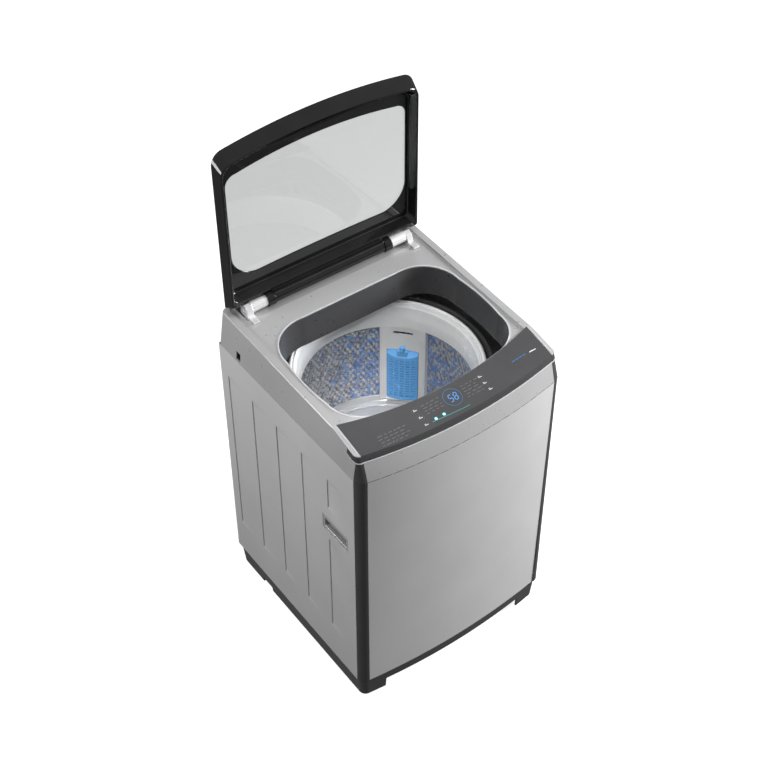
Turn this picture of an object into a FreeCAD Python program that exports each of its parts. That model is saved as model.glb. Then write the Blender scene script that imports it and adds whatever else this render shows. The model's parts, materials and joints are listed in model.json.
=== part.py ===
import FreeCAD, Part
import math
import os

# Top-loading washing machine with its lid standing open, built as an assembly.
# Units are millimetres. The origin is on the floor under the spin axis of the drum,
# +X is to the right of a person facing the machine, the front faces -Y and +Z is up.

V = FreeCAD.Vector
Z_AXIS = V(0, 0, 1)
Y_AXIS = V(0, 1, 0)
X_AXIS = V(1, 0, 0)

# ---- driving dimensions: cabinet ---------------------------------------------------
HALF_W = 300.0            # half the cabinet's width
BACK = 298.5              # the rear face
FRONT = -300.0            # the front face beside the corner strips
FRONT_LOW = -296.5        # the same, at the foot of the front panel
BOW_TOP = 28.0            # how far the front bows out at its top
BOW_LOW = 19.0            # and at its foot
BASE_Z = 15.0             # underside of the plastic base
SKIRT_Z = 85.0            # top of the base, where the sheet metal starts
SEAM_Z = 851.0            # top of the sheet metal, where the top cover starts
SHEET = 1.5               # sheet metal thickness
CORNER_R = 23.0           # radius of the front corner strips
GAP = 0.3                 # clearance between faces that pass each other

# ---- driving dimensions: top cover -------------------------------------------------
COVER_TOP = 960.0         # height of the cover's blank before its top is sloped
COVER_HALF_W = 289.5      # half width of that blank at its top
COVER_BACK = 291.0
COVER_FRONT = -268.0
COVER_BOW = 20.0
STRIP_Z_BACK = 956.0      # side strips' height at the hinges
STRIP_Z_FRONT = 944.0     # side strips' height at the console
HINGE_Y = 248.0
HINGE_Z = 966.0
CONSOLE_BACK = -183.0     # rear corners of the console
CONSOLE_BOW = 39.0        # how far its rear edge bows towards the front
CONSOLE_FALL = 0.2165     # fall of the console's face per millimetre forward
DECK_DROP = 5.0           # the deck under the lid lies this far below the side strips
DECK_HALF_W = 271.0
LINER_LOW_Z = 866.0       # lower edge of the dark well liner

# ---- driving dimensions: lid -------------------------------------------------------
LID_HALF_W = 280.0
LID_LEAN = 0.5            # degrees that the open lid leans back
LID_THICK = 32.0
LID_FOOT = 956.0          # height at which the lid's own length starts
LID_LEN = 436.0           # inner face, at its front corners
LID_BOW = 24.0            # bow of the lid's front edge
LID_OVERHANG = 25.0       # the outer face reaches this much further than the inner one
LID_FLARE = 3.0           # and is wider by this much on each side
RECESS_DEPTH = 25.0       # from the inner face to the flat border round the window
RECESS_HALF_W = 272.0     # the recess at the inner face
RECESS_LOW = 40.0
RECESS_LEN = 432.0
RECESS_TAPER = 8.0        # how much each of its walls slopes inwards over the depth
BEAM_R = 16.0             # round beam of the lid that turns between the two hinges
DISC_R = 18.8
BARREL_R = 15.0
PIN_R = 4.0
DISC_X = (165.0, 186.0)   # the beam's end discs, right of the middle plane
BARREL_X = (186.5, 232.0)

# ---- driving dimensions: drum and tub ----------------------------------------------
DRUM_R = 236.0            # inner radius of the perforated wall
DRUM_WALL = 1.5
DRUM_FLOOR = 480.0
RING_LOW = 763.0          # underside of the balance ring
RING_TOP = 838.0
RING_R_IN = 216.0
RING_R_OUT = 245.0
TUB_R_IN = 262.0
TUB_R_OUT = 266.0
TUB_FLOOR = 446.0         # inside floor of the outer tub
TUB_TOP = 800.0
PULSATOR_R = 206.0
FILTER_AZ = 43.0          # direction of the lint filter about the spin axis, degrees
FILTER_Z = (513.0, 682.0)
FILTER_HALF_W = 41.3
FILTER_R_FRONT = 204.0    # its front, at the middle, from the spin axis
FILTER_ROWS = 15
FILTER_COLUMNS = 5
ROD_XY = 248.0            # suspension rods stand at (+-ROD_XY, +-ROD_XY)
SPRING_LOW = 328.5
SPRING_HIGH = 451.5
FOOT_XY = 262.0           # feet stand at (+-FOOT_XY, +-FOOT_XY)
INNER_SHAFT_R = 8.0
HOLLOW_SHAFT_R = 16.0
PULLEY_Z = 292.0
PULLEY_R = 85.0
MOTOR_PULLEY_R = 22.0
MOTOR_OFFSET = 165.0      # from the spin axis to the motor's axis, along +X

SIDES = (-1, 1)           # left and right of the machine
NODES = {}


# ---- shape helpers -----------------------------------------------------------------
def box(x0, x1, y0, y1, z0, z1):
    return Part.makeBox(x1 - x0, y1 - y0, z1 - z0, V(x0, y0, z0))


def rod(r, start, end):
    direction = end - start
    return Part.makeCylinder(r, direction.Length, start, direction)


def post(r, x, y, z0, z1):
    return rod(r, V(x, y, z0), V(x, y, z1))


def tube(r_out, r_in, x, y, z0, z1):
    return post(r_out, x, y, z0, z1).cut(post(r_in, x, y, z0 - 1, z1 + 1))


def fuse(shapes):
    whole = shapes[0]
    for shape in shapes[1:]:
        whole = whole.fuse(shape)
    return whole.removeSplitter()


def cut(shape, tools):
    for tool in tools:
        shape = shape.cut(tool)
    return shape


def group(shapes):
    return Part.makeCompound(shapes)


def prism_x(points_yz, x0, x1):
    """A polygon in the YZ plane, extruded from x0 to x1."""
    points = [V(x0, y, z) for y, z in points_yz]
    face = Part.Face(Part.makePolygon(points + points[:1]))
    return face.extrude(V(x1 - x0, 0, 0))


def prism_z(points_xy, z0, z1):
    points = [V(x, y, z0) for x, y in points_xy]
    face = Part.Face(Part.makePolygon(points + points[:1]))
    return face.extrude(V(0, 0, z1 - z0))


def turned(points_rz, angle=360.0, start=0.0, x=0.0, y=0.0):
    """A closed profile of radius and height, turned about a vertical axis."""
    points = [V(r, 0, z) for r, z in points_rz]
    face = Part.Face(Part.makePolygon(points + points[:1]))
    solid = face.revolve(V(0, 0, 0), Z_AXIS, angle)
    solid.rotate(V(0, 0, 0), Z_AXIS, start)
    solid.translate(V(x, y, 0))
    return solid


def about_z(shape, angle):
    copy = shape.copy()
    copy.rotate(V(0, 0, 0), Z_AXIS, angle)
    return copy


def mirrored(shape):
    """The same shape on the other side of the machine's middle plane."""
    return shape.mirror(V(0, 0, 0), X_AXIS)


def arc(a, b, c):
    return Part.Arc(a, b, c).toShape()


def line(a, b):
    return Part.LineSegment(a, b).toShape()


# ---- outlines ----------------------------------------------------------------------
def body_outline(z, half_w, back, front, bow, r_front, r_back):
    """Rounded plan outline of the cabinet, with a front that bows out."""
    q = math.sqrt(0.5)
    fx = half_w - r_front
    fy = front + r_front
    bx = half_w - r_back
    by = back - r_back
    return Part.Wire([
        line(V(-bx, back, z), V(bx, back, z)),
        arc(V(bx, back, z), V(bx + q * r_back, by + q * r_back, z), V(half_w, by, z)),
        line(V(half_w, by, z), V(half_w, fy, z)),
        arc(V(half_w, fy, z), V(fx + q * r_front, fy - q * r_front, z), V(fx, front, z)),
        arc(V(fx, front, z), V(0, front - bow, z), V(-fx, front, z)),
        arc(V(-fx, front, z), V(-fx - q * r_front, fy - q * r_front, z), V(-half_w, fy, z)),
        line(V(-half_w, fy, z), V(-half_w, by, z)),
        arc(V(-half_w, by, z), V(-bx - q * r_back, by + q * r_back, z), V(-bx, back, z)),
    ])


def between(low, high):
    return Part.makeLoft([low, high], True, True)


def console_edge_y(x, shift=0.0):
    """Where the console's curved rear edge lies at x; shift moves it to the rear."""
    half = LID_HALF_W
    radius = (half * half + CONSOLE_BOW * CONSOLE_BOW) / (2 * CONSOLE_BOW)
    return CONSOLE_BACK - CONSOLE_BOW + radius - math.sqrt(radius * radius - x * x) + shift


def well_outline(z, grow):
    """Rounded outline of the loading opening, grown outwards all round by grow."""
    front_x = 188.0

    def place(x, y, nx, ny):
        return V(x + grow * nx, y + grow * ny, z)

    front_right = place(front_x, console_edge_y(front_x, 2.0), 0.3, -0.95)
    front_left = V(-front_right.x, front_right.y, z)
    front_mid = place(0, console_edge_y(0, 2.0), 0, -1)
    right = [
        place(140, 158, 0, 1),
        place(222, 132, 0.6, 0.8),
        place(256, 50, 0.98, 0.18),
        place(262, -30, 1, 0),
        place(256, -110, 0.98, -0.18),
        place(236, -172, 0.75, -0.66),
    ]
    left = [V(-p.x, p.y, z) for p in right]
    return Part.Wire([
        line(left[0], right[0]),
        arc(right[0], right[1], right[2]),
        arc(right[2], right[3], right[4]),
        arc(right[4], right[5], front_right),
        arc(front_right, front_mid, front_left),
        arc(front_left, left[5], left[4]),
        arc(left[4], left[3], left[2]),
        arc(left[2], left[1], left[0]),
    ])


def strip_z(y):
    """Height of the cover's side strips, which rise gently to the rear."""
    slope = (STRIP_Z_BACK - STRIP_Z_FRONT) / (HINGE_Y - CONSOLE_BACK)
    return STRIP_Z_FRONT + slope * (y - CONSOLE_BACK)


def console_z(y):
    return STRIP_Z_FRONT + CONSOLE_FALL * (y - CONSOLE_BACK)


def under_strips(drop, y_back=340.0, half=320.0):
    """All the space more than drop below the cover's top profile."""
    y_front = -360.0
    points = [(y_front, 800), (y_front, console_z(y_front) - drop),
              (CONSOLE_BACK, STRIP_Z_FRONT - drop), (y_back, strip_z(y_back) - drop),
              (y_back, 800)]
    return prism_x(points, -half, half)


def slab(top_drop, low_drop, half=320.0):
    """The layer between two drops below the cover's top profile."""
    return under_strips(top_drop, half=half).cut(under_strips(low_drop, half=half + 5))


def cover_blank(inset, front_inset):
    low = body_outline(SEAM_Z, HALF_W - inset, BACK - inset, FRONT + front_inset,
                       BOW_TOP, CORNER_R, 14)
    high = body_outline(COVER_TOP, COVER_HALF_W - inset, COVER_BACK - inset,
                        COVER_FRONT + front_inset, COVER_BOW, 9, 16)
    return between(low, high)


def console_outline(z, grow):
    """Plan of the console's glass; its front edge is left to the fascia."""
    half = LID_HALF_W - 0.5 + grow
    y_side = console_edge_y(half) + grow
    middle = console_edge_y(0) + grow
    return Part.Wire([
        arc(V(-half, y_side, z), V(0, middle, z), V(half, y_side, z)),
        line(V(half, y_side, z), V(half, -360, z)),
        line(V(half, -360, z), V(-half, -360, z)),
        line(V(-half, -360, z), V(-half, y_side, z)),
    ])


def extruded(wire, height):
    return Part.Face(wire).extrude(V(0, 0, height))


# ---- cabinet: sheet metal, strips and base ------------------------------------------
RIB_Y = [264.0, 155.5, 49.0, -59.0, -167.5]
RIB_LOW = 204.0
RIB_HIGH = 762.0
HANDLE_Y = (-249.0, -143.0)
HANDLE_Z = (571.0, 621.0)
HANDLE_DEPTH = 34.0


def pressed_rib(y, z0, z1):
    """The groove cut and the ridge added behind it, for one pressed rib."""
    groove = box(-HALF_W - 1, -HALF_W + 2.0, y - 2.2, y + 2.2, z0, z1)
    ridge = box(-HALF_W + SHEET - 0.1, -HALF_W + 2.0 + SHEET, y - 3.7, y + 3.7, z0 - 1.5, z1 + 1.5)
    return groove, ridge


def make_side_panel():
    panel = box(-HALF_W, -HALF_W + SHEET, FRONT + CORNER_R + 1, BACK - SHEET, SKIRT_Z, SEAM_Z)
    flange = box(-HALF_W + SHEET - 0.1, -HALF_W + 20, BACK - 2 * SHEET, BACK - SHEET, SKIRT_Z, SEAM_Z)
    front_flange = box(-HALF_W + SHEET - 0.1, -HALF_W + 14, FRONT + CORNER_R + 1,
                       FRONT + CORNER_R + 1 + SHEET, SKIRT_Z, SEAM_Z)
    ridges = []
    grooves = []
    for y in RIB_Y:
        spans = [(RIB_LOW, RIB_HIGH)]
        if HANDLE_Y[0] < y < HANDLE_Y[1]:
            spans = [(RIB_LOW, 547.0), (660.0, RIB_HIGH)]
        for z0, z1 in spans:
            groove, ridge = pressed_rib(y, z0, z1)
            grooves.append(groove)
            ridges.append(ridge)
    panel = fuse([panel, flange, front_flange] + ridges)
    window = box(-HALF_W - 1, -HALF_W + 8, HANDLE_Y[0], HANDLE_Y[1], HANDLE_Z[0], HANDLE_Z[1])
    return cut(panel, grooves + [window])


def make_handle_cup():
    """A moulded finger recess that fills the window in the side panel."""
    y0, y1 = HANDLE_Y
    z0, z1 = HANDLE_Z
    x0 = -HALF_W + 0.8
    rim = box(x0, x0 + 3, y0 + GAP, y1 - GAP, z0 + GAP, z1 - GAP)
    flange = box(-HALF_W + SHEET, -HALF_W + SHEET + 2.3, y0 - 8, y1 + 8, z0 - 8, z1 + 8)
    pocket = box(-HALF_W + SHEET, x0 + HANDLE_DEPTH, y0 + 5, y1 - 5, z0 + 8, z1 + 5)
    hollow = box(x0 - 2, x0 + HANDLE_DEPTH - 2.5, y0 + 8, y1 - 8, z0 + 11, z1 - 13)
    grip_space = box(x0 + 8, x0 + HANDLE_DEPTH - 2.5, y0 + 8, y1 - 8, z0 + 11, z1 + 2)
    cup = fuse([rim, flange, pocket])
    return cut(cup, [hollow, grip_space])


def bowed_sheet(z0, y0, bow0, z1, y1, bow1, half, thick):
    """A bowed upright sheet between two levels."""
    wires = []
    for z, y, bow in ((z0, y0, bow0), (z1, y1, bow1)):
        a = V(-half, y, z)
        b = V(0, y - bow, z)
        c = V(half, y, z)
        back = V(0, thick, 0)
        wires.append(Part.Wire([arc(a, b, c), line(c, c + back),
                                arc(c + back, b + back, a + back), line(a + back, a)]))
    return between(wires[0], wires[1])


def make_corner_trim():
    centre_x = -HALF_W + CORNER_R
    centre_y = FRONT + CORNER_R + 0.6
    ring = tube(CORNER_R, CORNER_R - 2.5, centre_x, centre_y, SKIRT_Z, SEAM_Z)
    quarter = box(centre_x - 40, centre_x, centre_y - 40, centre_y, SKIRT_Z, SEAM_Z)
    return ring.common(quarter)


def make_base():
    outer = between(body_outline(BASE_Z, 290, 292, -290, 20, 20, 14),
                    body_outline(SKIRT_Z, 296.5, 295.5, -294, 20, 22, 14))
    inner = between(body_outline(BASE_Z - 1, 284.6, 287.4, -284.6, 20, 18, 10),
                    body_outline(SKIRT_Z + 1, 291.0, 290.0, -288.5, 20, 18, 10))
    shell = outer.cut(inner)
    near = FOOT_XY - 26
    far = FOOT_XY + 27
    corner = FOOT_XY + 6
    pads = []
    holes = []
    for sx in SIDES:
        for sy in SIDES:
            outline = [(sx * near, sy * near), (sx * far, sy * near), (sx * far, sy * corner),
                       (sx * corner, sy * far), (sx * near, sy * far)]
            pads.append(prism_z(outline, BASE_Z, 62))
            holes.append(post(4.1, sx * FOOT_XY, sy * FOOT_XY, 0, 100))
    side_arches = box(-400, 400, 145, 188, 0, BASE_Z + 16)
    front_arch = prism_x([(-400, 0), (-400, 50), (-225, 50), (-225, 0)], -222, 222)
    return cut(fuse([shell] + pads), [side_arches, front_arch] + holes)


def make_foot(x, y):
    """Rubber pad and the steel stud with its lock nut."""
    pad = turned([(0, 0), (18, 0), (20, 2), (20, 6), (17, 9), (0, 9)], x=x, y=y)
    stud = post(4.05, x, y, 9, 76)
    nut = turned([(0, 9), (18.5, 9), (19.5, 10), (19.5, 13), (18.5, BASE_Z - 0.3), (0, BASE_Z - 0.3)], x=x, y=y)
    return pad, fuse([stud, nut])


def make_corner_brackets():
    brackets = []
    for sx in SIDES:
        for sy in SIDES:
            far_x = sx * (HALF_W - SHEET - 2.3)
            far_y = sy * 294.0
            if sy < 0:
                far_x = sx * 285.0
                far_y = -275.0
            near = 88.0
            plate = prism_z([(far_x, far_y), (far_x - sx * near, far_y), (far_x, far_y - sy * near)], 811, 814)
            hole = post(6, sx * ROD_XY, sy * ROD_XY, 800, 820)
            brackets.append(plate.cut(hole))
    return group(brackets)


def make_rear_panel():
    half = HALF_W - 20.3
    panel = box(-half, half, BACK - 2 * SHEET, BACK - SHEET, SKIRT_Z, SEAM_Z)
    window = box(-170, 170, BACK - 10, BACK + 10, 190, 640)
    gland = rod(9.1, V(-215, BACK - 20, 130), V(-215, BACK + 20, 130))
    drain = rod(16.1, V(205, BACK - 20, 125), V(205, BACK + 20, 125))
    return cut(panel, [window, gland, drain])


def make_rear_cover():
    plate = box(-190, 190, BACK - SHEET, BACK, 170, 660)
    ribs = [box(-150, 150, BACK - 0.1, BACK + 2.2, z - 4, z + 4) for z in (250, 330, 415, 500, 580)]
    return fuse([plate] + ribs)


# ---- top cover, well and console ------------------------------------------------------
def make_top_cover():
    skin = cover_blank(0, 0).common(under_strips(0))
    void = cover_blank(3.0, 7.5).common(under_strips(DECK_DROP + 6.0))
    below = body_outline(SEAM_Z - 5, HALF_W - 3, BACK - 3, FRONT + 7.5, BOW_TOP, CORNER_R, 14)
    void = void.fuse(extruded(below, 6.0))
    well = extruded(well_outline(820, 3.2), 200)
    pocket_wire = Part.Wire([
        arc(V(-DECK_HALF_W, console_edge_y(DECK_HALF_W), 900), V(0, console_edge_y(0), 900),
            V(DECK_HALF_W, console_edge_y(DECK_HALF_W), 900)),
        line(V(DECK_HALF_W, console_edge_y(DECK_HALF_W), 900), V(DECK_HALF_W, 284, 900)),
        line(V(DECK_HALF_W, 284, 900), V(-DECK_HALF_W, 284, 900)),
        line(V(-DECK_HALF_W, 284, 900), V(-DECK_HALF_W, console_edge_y(DECK_HALF_W), 900)),
    ])
    deck = extruded(pocket_wire, 100).cut(under_strips(DECK_DROP))
    trough = box(-255, 255, 222, 278, 945, 990)
    glass_bed = extruded(console_outline(860, 0.3), 120).cut(under_strips(3.0))
    lip_bed = lip_band(0.3, 3.3)
    cover = cut(skin, [void, well, deck, trough, glass_bed, lip_bed] + corner_inserts(0.3, 1.1))
    side_slots = [box(sx * 290 - 12, sx * 290 + 12, 198, 216, 856, 882) for sx in SIDES]
    inlets = [rod(14.5, V(x, 250, 905), V(x, 320, 905)) for x in (-190, -130)]
    cover = cut(cover, side_slots + inlets)
    return cover.makeFillet(3.0, [edge for edge in cover.Edges if is_outer_top(edge)])


def is_outer_top(edge):
    """Long outer edges of the side strips and of the rear rim."""
    bound = edge.BoundBox
    on_side = abs(bound.XMin) > 289 and abs(bound.XMax) > 289 and bound.YLength > 200
    return on_side and bound.ZMin > 930


def lip_band(outset, depth):
    """The band of the fascia just below the console's face."""
    outer = cover_blank(-outset, -outset)
    inner = cover_blank(depth, depth)
    band = outer.common(slab(2.0, 15.0)).cut(inner)
    ahead = box(-400, 400, -400, CONSOLE_BACK - 62, 800, 1000)
    return band.common(ahead)


def corner_inserts(outset, depth):
    """The dark plates let into the cover's front corners, above the corner strips."""
    shell = cover_blank(-outset, -outset).cut(cover_blank(depth, depth))
    shell = shell.common(under_strips(15.5 - outset))
    edge = HALF_W - CORNER_R - outset
    plates = []
    for sx in SIDES:
        corner = box(min(sx * edge, sx * 320), max(sx * edge, sx * 320), -340, FRONT + CORNER_R + outset,
                     SEAM_Z + 0.3 - outset, COVER_TOP)
        plates.append(shell.common(corner))
    return plates


def lip_line():
    """Bright bead along the fascia, just below the console's lip."""
    band = cover_blank(-1.0, -1.0).cut(cover_blank(-0.1, -0.1)).common(slab(16.6, 18.4))
    return band.common(box(-400, 400, -400, CONSOLE_BACK - 62, 800, 1000))


def make_console_glass():
    blank = cover_blank(-0.4, -0.4).common(extruded(console_outline(860, 0.0), 120))
    return blank.common(slab(0.0, 3.0))


def make_console_lip():
    lip = lip_band(0.8, 3.0)
    glass = extruded(console_outline(860, 0.3), 120).cut(under_strips(3.0))
    return lip.cut(glass)


def make_console_trim():
    """Bright bead along both sides of the console."""
    beads = []
    for sx in SIDES:
        x = sx * (LID_HALF_W + 2.6)
        bead = box(x - 1.1, x + 1.1, CONSOLE_BACK - 88, CONSOLE_BACK - 4, 880, 990)
        beads.append(bead.common(slab(-0.8, 0.0)))
    return group(beads + [lip_line()])


def make_opening_trim():
    outer = extruded(well_outline(820, 3.0), 200)
    inner = extruded(well_outline(820, -0.6), 200)
    ring = outer.cut(inner)
    return ring.common(slab(DECK_DROP - 1.6, DECK_DROP + 1.5)).cut(glass_side())


def glass_side():
    return extruded(console_outline(820, 0.2), 200)


def make_well_liner():
    outer = between(well_outline(LINER_LOW_Z, -7.0), well_outline(960, 3.0))
    inner = between(well_outline(LINER_LOW_Z - 1, -10.0), well_outline(961, 0.0))
    liner = outer.common(under_strips(DECK_DROP + 1.5)).cut(inner)
    return liner.cut(glass_side().cut(under_strips(4.0)))


def make_control_board():
    board = box(-150, 190, -294, -242, 905, 907)
    parts = [box(-40, 40, -285, -248, 907, 912)]
    for x in (-120, -95, 80, 110, 150):
        parts.append(box(x, x + 14, -275, -260, 907, 911))
    assembly = fuse([board] + parts)
    assembly.rotate(V(0, CONSOLE_BACK, 906), X_AXIS, math.degrees(math.atan(CONSOLE_FALL)))
    return assembly


def make_inlet_valve():
    body = box(-212, -108, 252, 284, 888, 925)
    spouts = []
    for x in (-190, -130):
        collar = rod(18, V(x, 283, 905), V(x, 287, 905))
        spout = rod(13.2, V(x, 287, 905), V(x, 312, 905))
        bore = rod(9, V(x, 280, 905), V(x, 313, 905))
        spouts.append(fuse([collar, spout]).cut(bore))
    solids = fuse([body] + spouts)
    coils = [post(13, x, 268, 925, 934) for x in (-190, -130)]
    return fuse([solids] + coils)


def make_water_chute():
    """Flat duct under the rear deck that pours water into the drum."""
    outer = box(-100, 60, 168, 250, 905, 932)
    inner = box(-97, 57, 150, 247, 908, 929)
    return outer.cut(inner)


def make_lid_switch():
    body = box(205, 232, 188, 216, 915, 938)
    lever = box(214, 223, 182, 188, 920, 930)
    return fuse([body, lever])


def make_level_sensor():
    disc = post(24, -235, 225, 900, 918)
    nozzle = post(3, -235, 225, 885, 900)
    return fuse([disc, nozzle])


# ---- lid and hinges -----------------------------------------------------------------
def lid_to_place(shape):
    """Stand a shape drawn flat (x, length, depth) up into the open lid's place."""
    placed = shape.copy()
    placed.rotate(V(0, 0, 0), X_AXIS, 90.0 - LID_LEAN)
    placed.translate(V(0, HINGE_Y, LID_FOOT))
    return placed


def lid_outline(depth, half, foot, length, bow, radius, foot_radius):
    """Lid outline in its own plane: x across, y along its length, z = -depth."""
    q = math.sqrt(0.5)
    z = -depth
    fx = half - radius
    gx = half - foot_radius
    return Part.Wire([
        line(V(-gx, foot, z), V(gx, foot, z)),
        arc(V(gx, foot, z), V(gx + q * foot_radius, foot + foot_radius * (1 - q), z),
            V(half, foot + foot_radius, z)),
        line(V(half, foot + foot_radius, z), V(half, length - radius, z)),
        arc(V(half, length - radius, z), V(fx + q * radius, length - radius * (1 - q), z),
            V(fx, length + 3, z)),
        arc(V(fx, length + 3, z), V(0, length + bow, z), V(-fx, length + 3, z)),
        arc(V(-fx, length + 3, z), V(-fx - q * radius, length - radius * (1 - q), z),
            V(-half, length - radius, z)),
        line(V(-half, length - radius, z), V(-half, foot + foot_radius, z)),
        arc(V(-half, foot + foot_radius, z), V(-gx - q * foot_radius, foot + foot_radius * (1 - q), z),
            V(-gx, foot, z)),
    ])


def window_outline(depth, grow):
    """The clear window, with large lower corners and a curved upper edge."""
    q = math.sqrt(0.5)
    z = -depth
    half = 255.0 + grow
    low = 89.0 - grow
    high = 388.0 + grow
    r_low = 72.0
    r_high = 30.0
    lx = half - r_low
    hx = half - r_high
    return Part.Wire([
        arc(V(-lx, low, z), V(0, low + 3, z), V(lx, low, z)),
        arc(V(lx, low, z), V(lx + q * r_low, low + r_low * (1 - q), z), V(half, low + r_low, z)),
        line(V(half, low + r_low, z), V(half, high - r_high, z)),
        arc(V(half, high - r_high, z), V(hx + q * r_high, high - r_high * (1 - q), z), V(hx, high, z)),
        arc(V(hx, high, z), V(0, high + 21, z), V(-hx, high, z)),
        arc(V(-hx, high, z), V(-hx - q * r_high, high - r_high * (1 - q), z), V(-half, high - r_high, z)),
        line(V(-half, high - r_high, z), V(-half, low + r_low, z)),
        arc(V(-half, low + r_low, z), V(-lx - q * r_low, low + r_low * (1 - q), z), V(-lx, low, z)),
    ])


def recess_outline(depth, grow):
    """The sloping-walled recess of the lid's inner face, at a depth."""
    taper = RECESS_TAPER * depth / RECESS_DEPTH - grow
    return lid_outline(depth, RECESS_HALF_W - taper, RECESS_LOW + taper, RECESS_LEN - taper, LID_BOW, 26, 14)


def glass_outline(depth, clearance):
    half = LID_HALF_W + LID_FLARE - 6 - clearance
    length = LID_LEN + LID_OVERHANG - 7 - clearance
    return lid_outline(depth, half, 13 + clearance, length, LID_BOW, 28, 6)


def make_lid_frame():
    inner = lid_outline(0, LID_HALF_W - LID_FLARE, 26, LID_LEN, LID_BOW, 24, 6)
    outer = lid_outline(LID_THICK, LID_HALF_W + LID_FLARE, 8, LID_LEN + LID_OVERHANG, LID_BOW, 30, 8)
    slab_solid = between(inner, outer)
    recess = between(recess_outline(-1, 0), recess_outline(RECESS_DEPTH, 0))
    window = between(window_outline(-1, 0), window_outline(LID_THICK + 1, 0))
    bed = between(glass_outline(LID_THICK - 4.3, 0), glass_outline(LID_THICK + 1, 0))
    frame = lid_to_place(cut(slab_solid, [recess, window, bed, gasket_ring()]))
    beam = rod(BEAM_R, V(-DISC_X[0], HINGE_Y, HINGE_Z), V(DISC_X[0], HINGE_Y, HINGE_Z))
    web = box(-DISC_X[0], DISC_X[0], HINGE_Y - 10, HINGE_Y + 14, HINGE_Z, HINGE_Z + 26)
    keep = box(-300, 300, 0, 400, HINGE_Z - 30, HINGE_Z + 20)
    frame = fuse([frame, beam, web.common(keep)])
    bores = []
    reliefs = []
    for sx in SIDES:
        a = V(sx * (DISC_X[0] - 14), HINGE_Y, HINGE_Z)
        b = V(sx * (BARREL_X[1] + 22), HINGE_Y, HINGE_Z)
        bores.append(rod(PIN_R + 0.3, a, b))
        c = V(sx * DISC_X[0], HINGE_Y, HINGE_Z)
        reliefs.append(rod(DISC_R + 1.5, c, b))
    return cut(frame, bores + reliefs)


def make_lid_glass():
    pane = Part.Face(glass_outline(LID_THICK - 4.0, 0.4)).extrude(V(0, 0, -4.0))
    return lid_to_place(pane)


def gasket_ring():
    """Ring at the foot of the recess's walls, let 1 mm into the flat border."""
    foot = RECESS_DEPTH - 0.6
    outside = extruded(recess_outline(RECESS_DEPTH + 1, -1.0), 1 + 0.6)
    return outside.cut(extruded(recess_outline(RECESS_DEPTH + 2, -3.6), foot))


def make_lid_gasket():
    """Soft bead let into the foot of the lid's recess, round the window."""
    return lid_to_place(gasket_ring())


def make_disc(side):
    a = V(side * DISC_X[0], HINGE_Y, HINGE_Z)
    b = V(side * DISC_X[1], HINGE_Y, HINGE_Z)
    bore = rod(PIN_R + 0.05, a - V(side * 5, 0, 0), b + V(side * 5, 0, 0))
    return rod(DISC_R, a, b).cut(bore)


def make_barrel(side):
    a = V(side * BARREL_X[0], HINGE_Y, HINGE_Z)
    b = V(side * BARREL_X[1], HINGE_Y, HINGE_Z)
    bore = rod(PIN_R, a - V(side * 5, 0, 0), b + V(side * 5, 0, 0))
    barrel = rod(BARREL_R, a, b)
    barrel = barrel.makeChamfer(1.0, [e for e in barrel.Edges if e.Curve.TypeId == "Part::GeomCircle"])
    return barrel.cut(bore)


def make_hinge_bracket(side):
    x0 = BARREL_X[1]
    x1 = x0 + 17.0
    z0 = 945.0
    profile = [(202, 951.5), (202, 955.5), (228, 956.5), (234, HINGE_Z + 9), (HINGE_Y, HINGE_Z + 14),
               (262, HINGE_Z + 8), (264, z0), (224, z0), (222, 951.5)]
    bracket = prism_x(profile, x0, x1)
    bore = rod(PIN_R, V(x0 - 5, HINGE_Y, HINGE_Z), V(x1 + 5, HINGE_Y, HINGE_Z))
    bracket = bracket.cut(bore)
    if side < 0:
        bracket = mirrored(bracket)
    return bracket


def make_hinge_pin(side):
    a = V(side * (DISC_X[0] - 12), HINGE_Y, HINGE_Z)
    b = V(side * (BARREL_X[1] + 15), HINGE_Y, HINGE_Z)
    return rod(PIN_R, a, b)


# ---- drum, filter and pulsator --------------------------------------------------------
def make_balance_ring():
    profile = [(RING_R_IN, RING_LOW), (RING_R_OUT - 6, RING_LOW), (RING_R_OUT, RING_LOW + 6),
               (RING_R_OUT, RING_TOP - 9), (RING_R_OUT - 3, RING_TOP - 2), (RING_R_OUT - 9, RING_TOP),
               (RING_R_OUT - 12, RING_TOP - 5), (RING_R_OUT - 16, RING_TOP - 7),
               (RING_R_OUT - 19, RING_TOP - 14), (RING_R_OUT - 22, RING_TOP - 26),
               (RING_R_IN + 3, RING_LOW + 30)]
    return turned(profile)


def make_drum_wall():
    r0 = DRUM_R
    r1 = DRUM_R + DRUM_WALL
    low = DRUM_FLOOR - 8
    profile = [(r0, low), (r1, low), (r1, RING_LOW), (r0, RING_LOW)]
    wall = turned(profile)
    holes = []
    for level in range(9):
        z = DRUM_FLOOR + 32 + level * 28
        for step in range(12):
            direction = V(1, 0, 0)
            hole = rod(2.2, V(DRUM_R - 6, 0, z), V(DRUM_R - 6, 0, z) + direction * 16)
            holes.append(about_z(hole, 15 + 30 * step + 15 * (level % 2)))
    return wall.cut(group(holes))


def make_drum_base():
    """Dished plastic floor of the drum with the hub boss under it."""
    profile = [(HOLLOW_SHAFT_R, 460), (50, 460), (60, 468), (DRUM_R - 0.1, 472), (DRUM_R - 0.1, 500),
               (DRUM_R - 3, 500), (DRUM_R - 8, 488), (PULSATOR_R + 6, DRUM_FLOOR),
               (PULSATOR_R + 4, 476), (HOLLOW_SHAFT_R, 476)]
    return turned(profile)


def channel_angle(width, radius):
    return math.degrees(width / radius)


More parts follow.
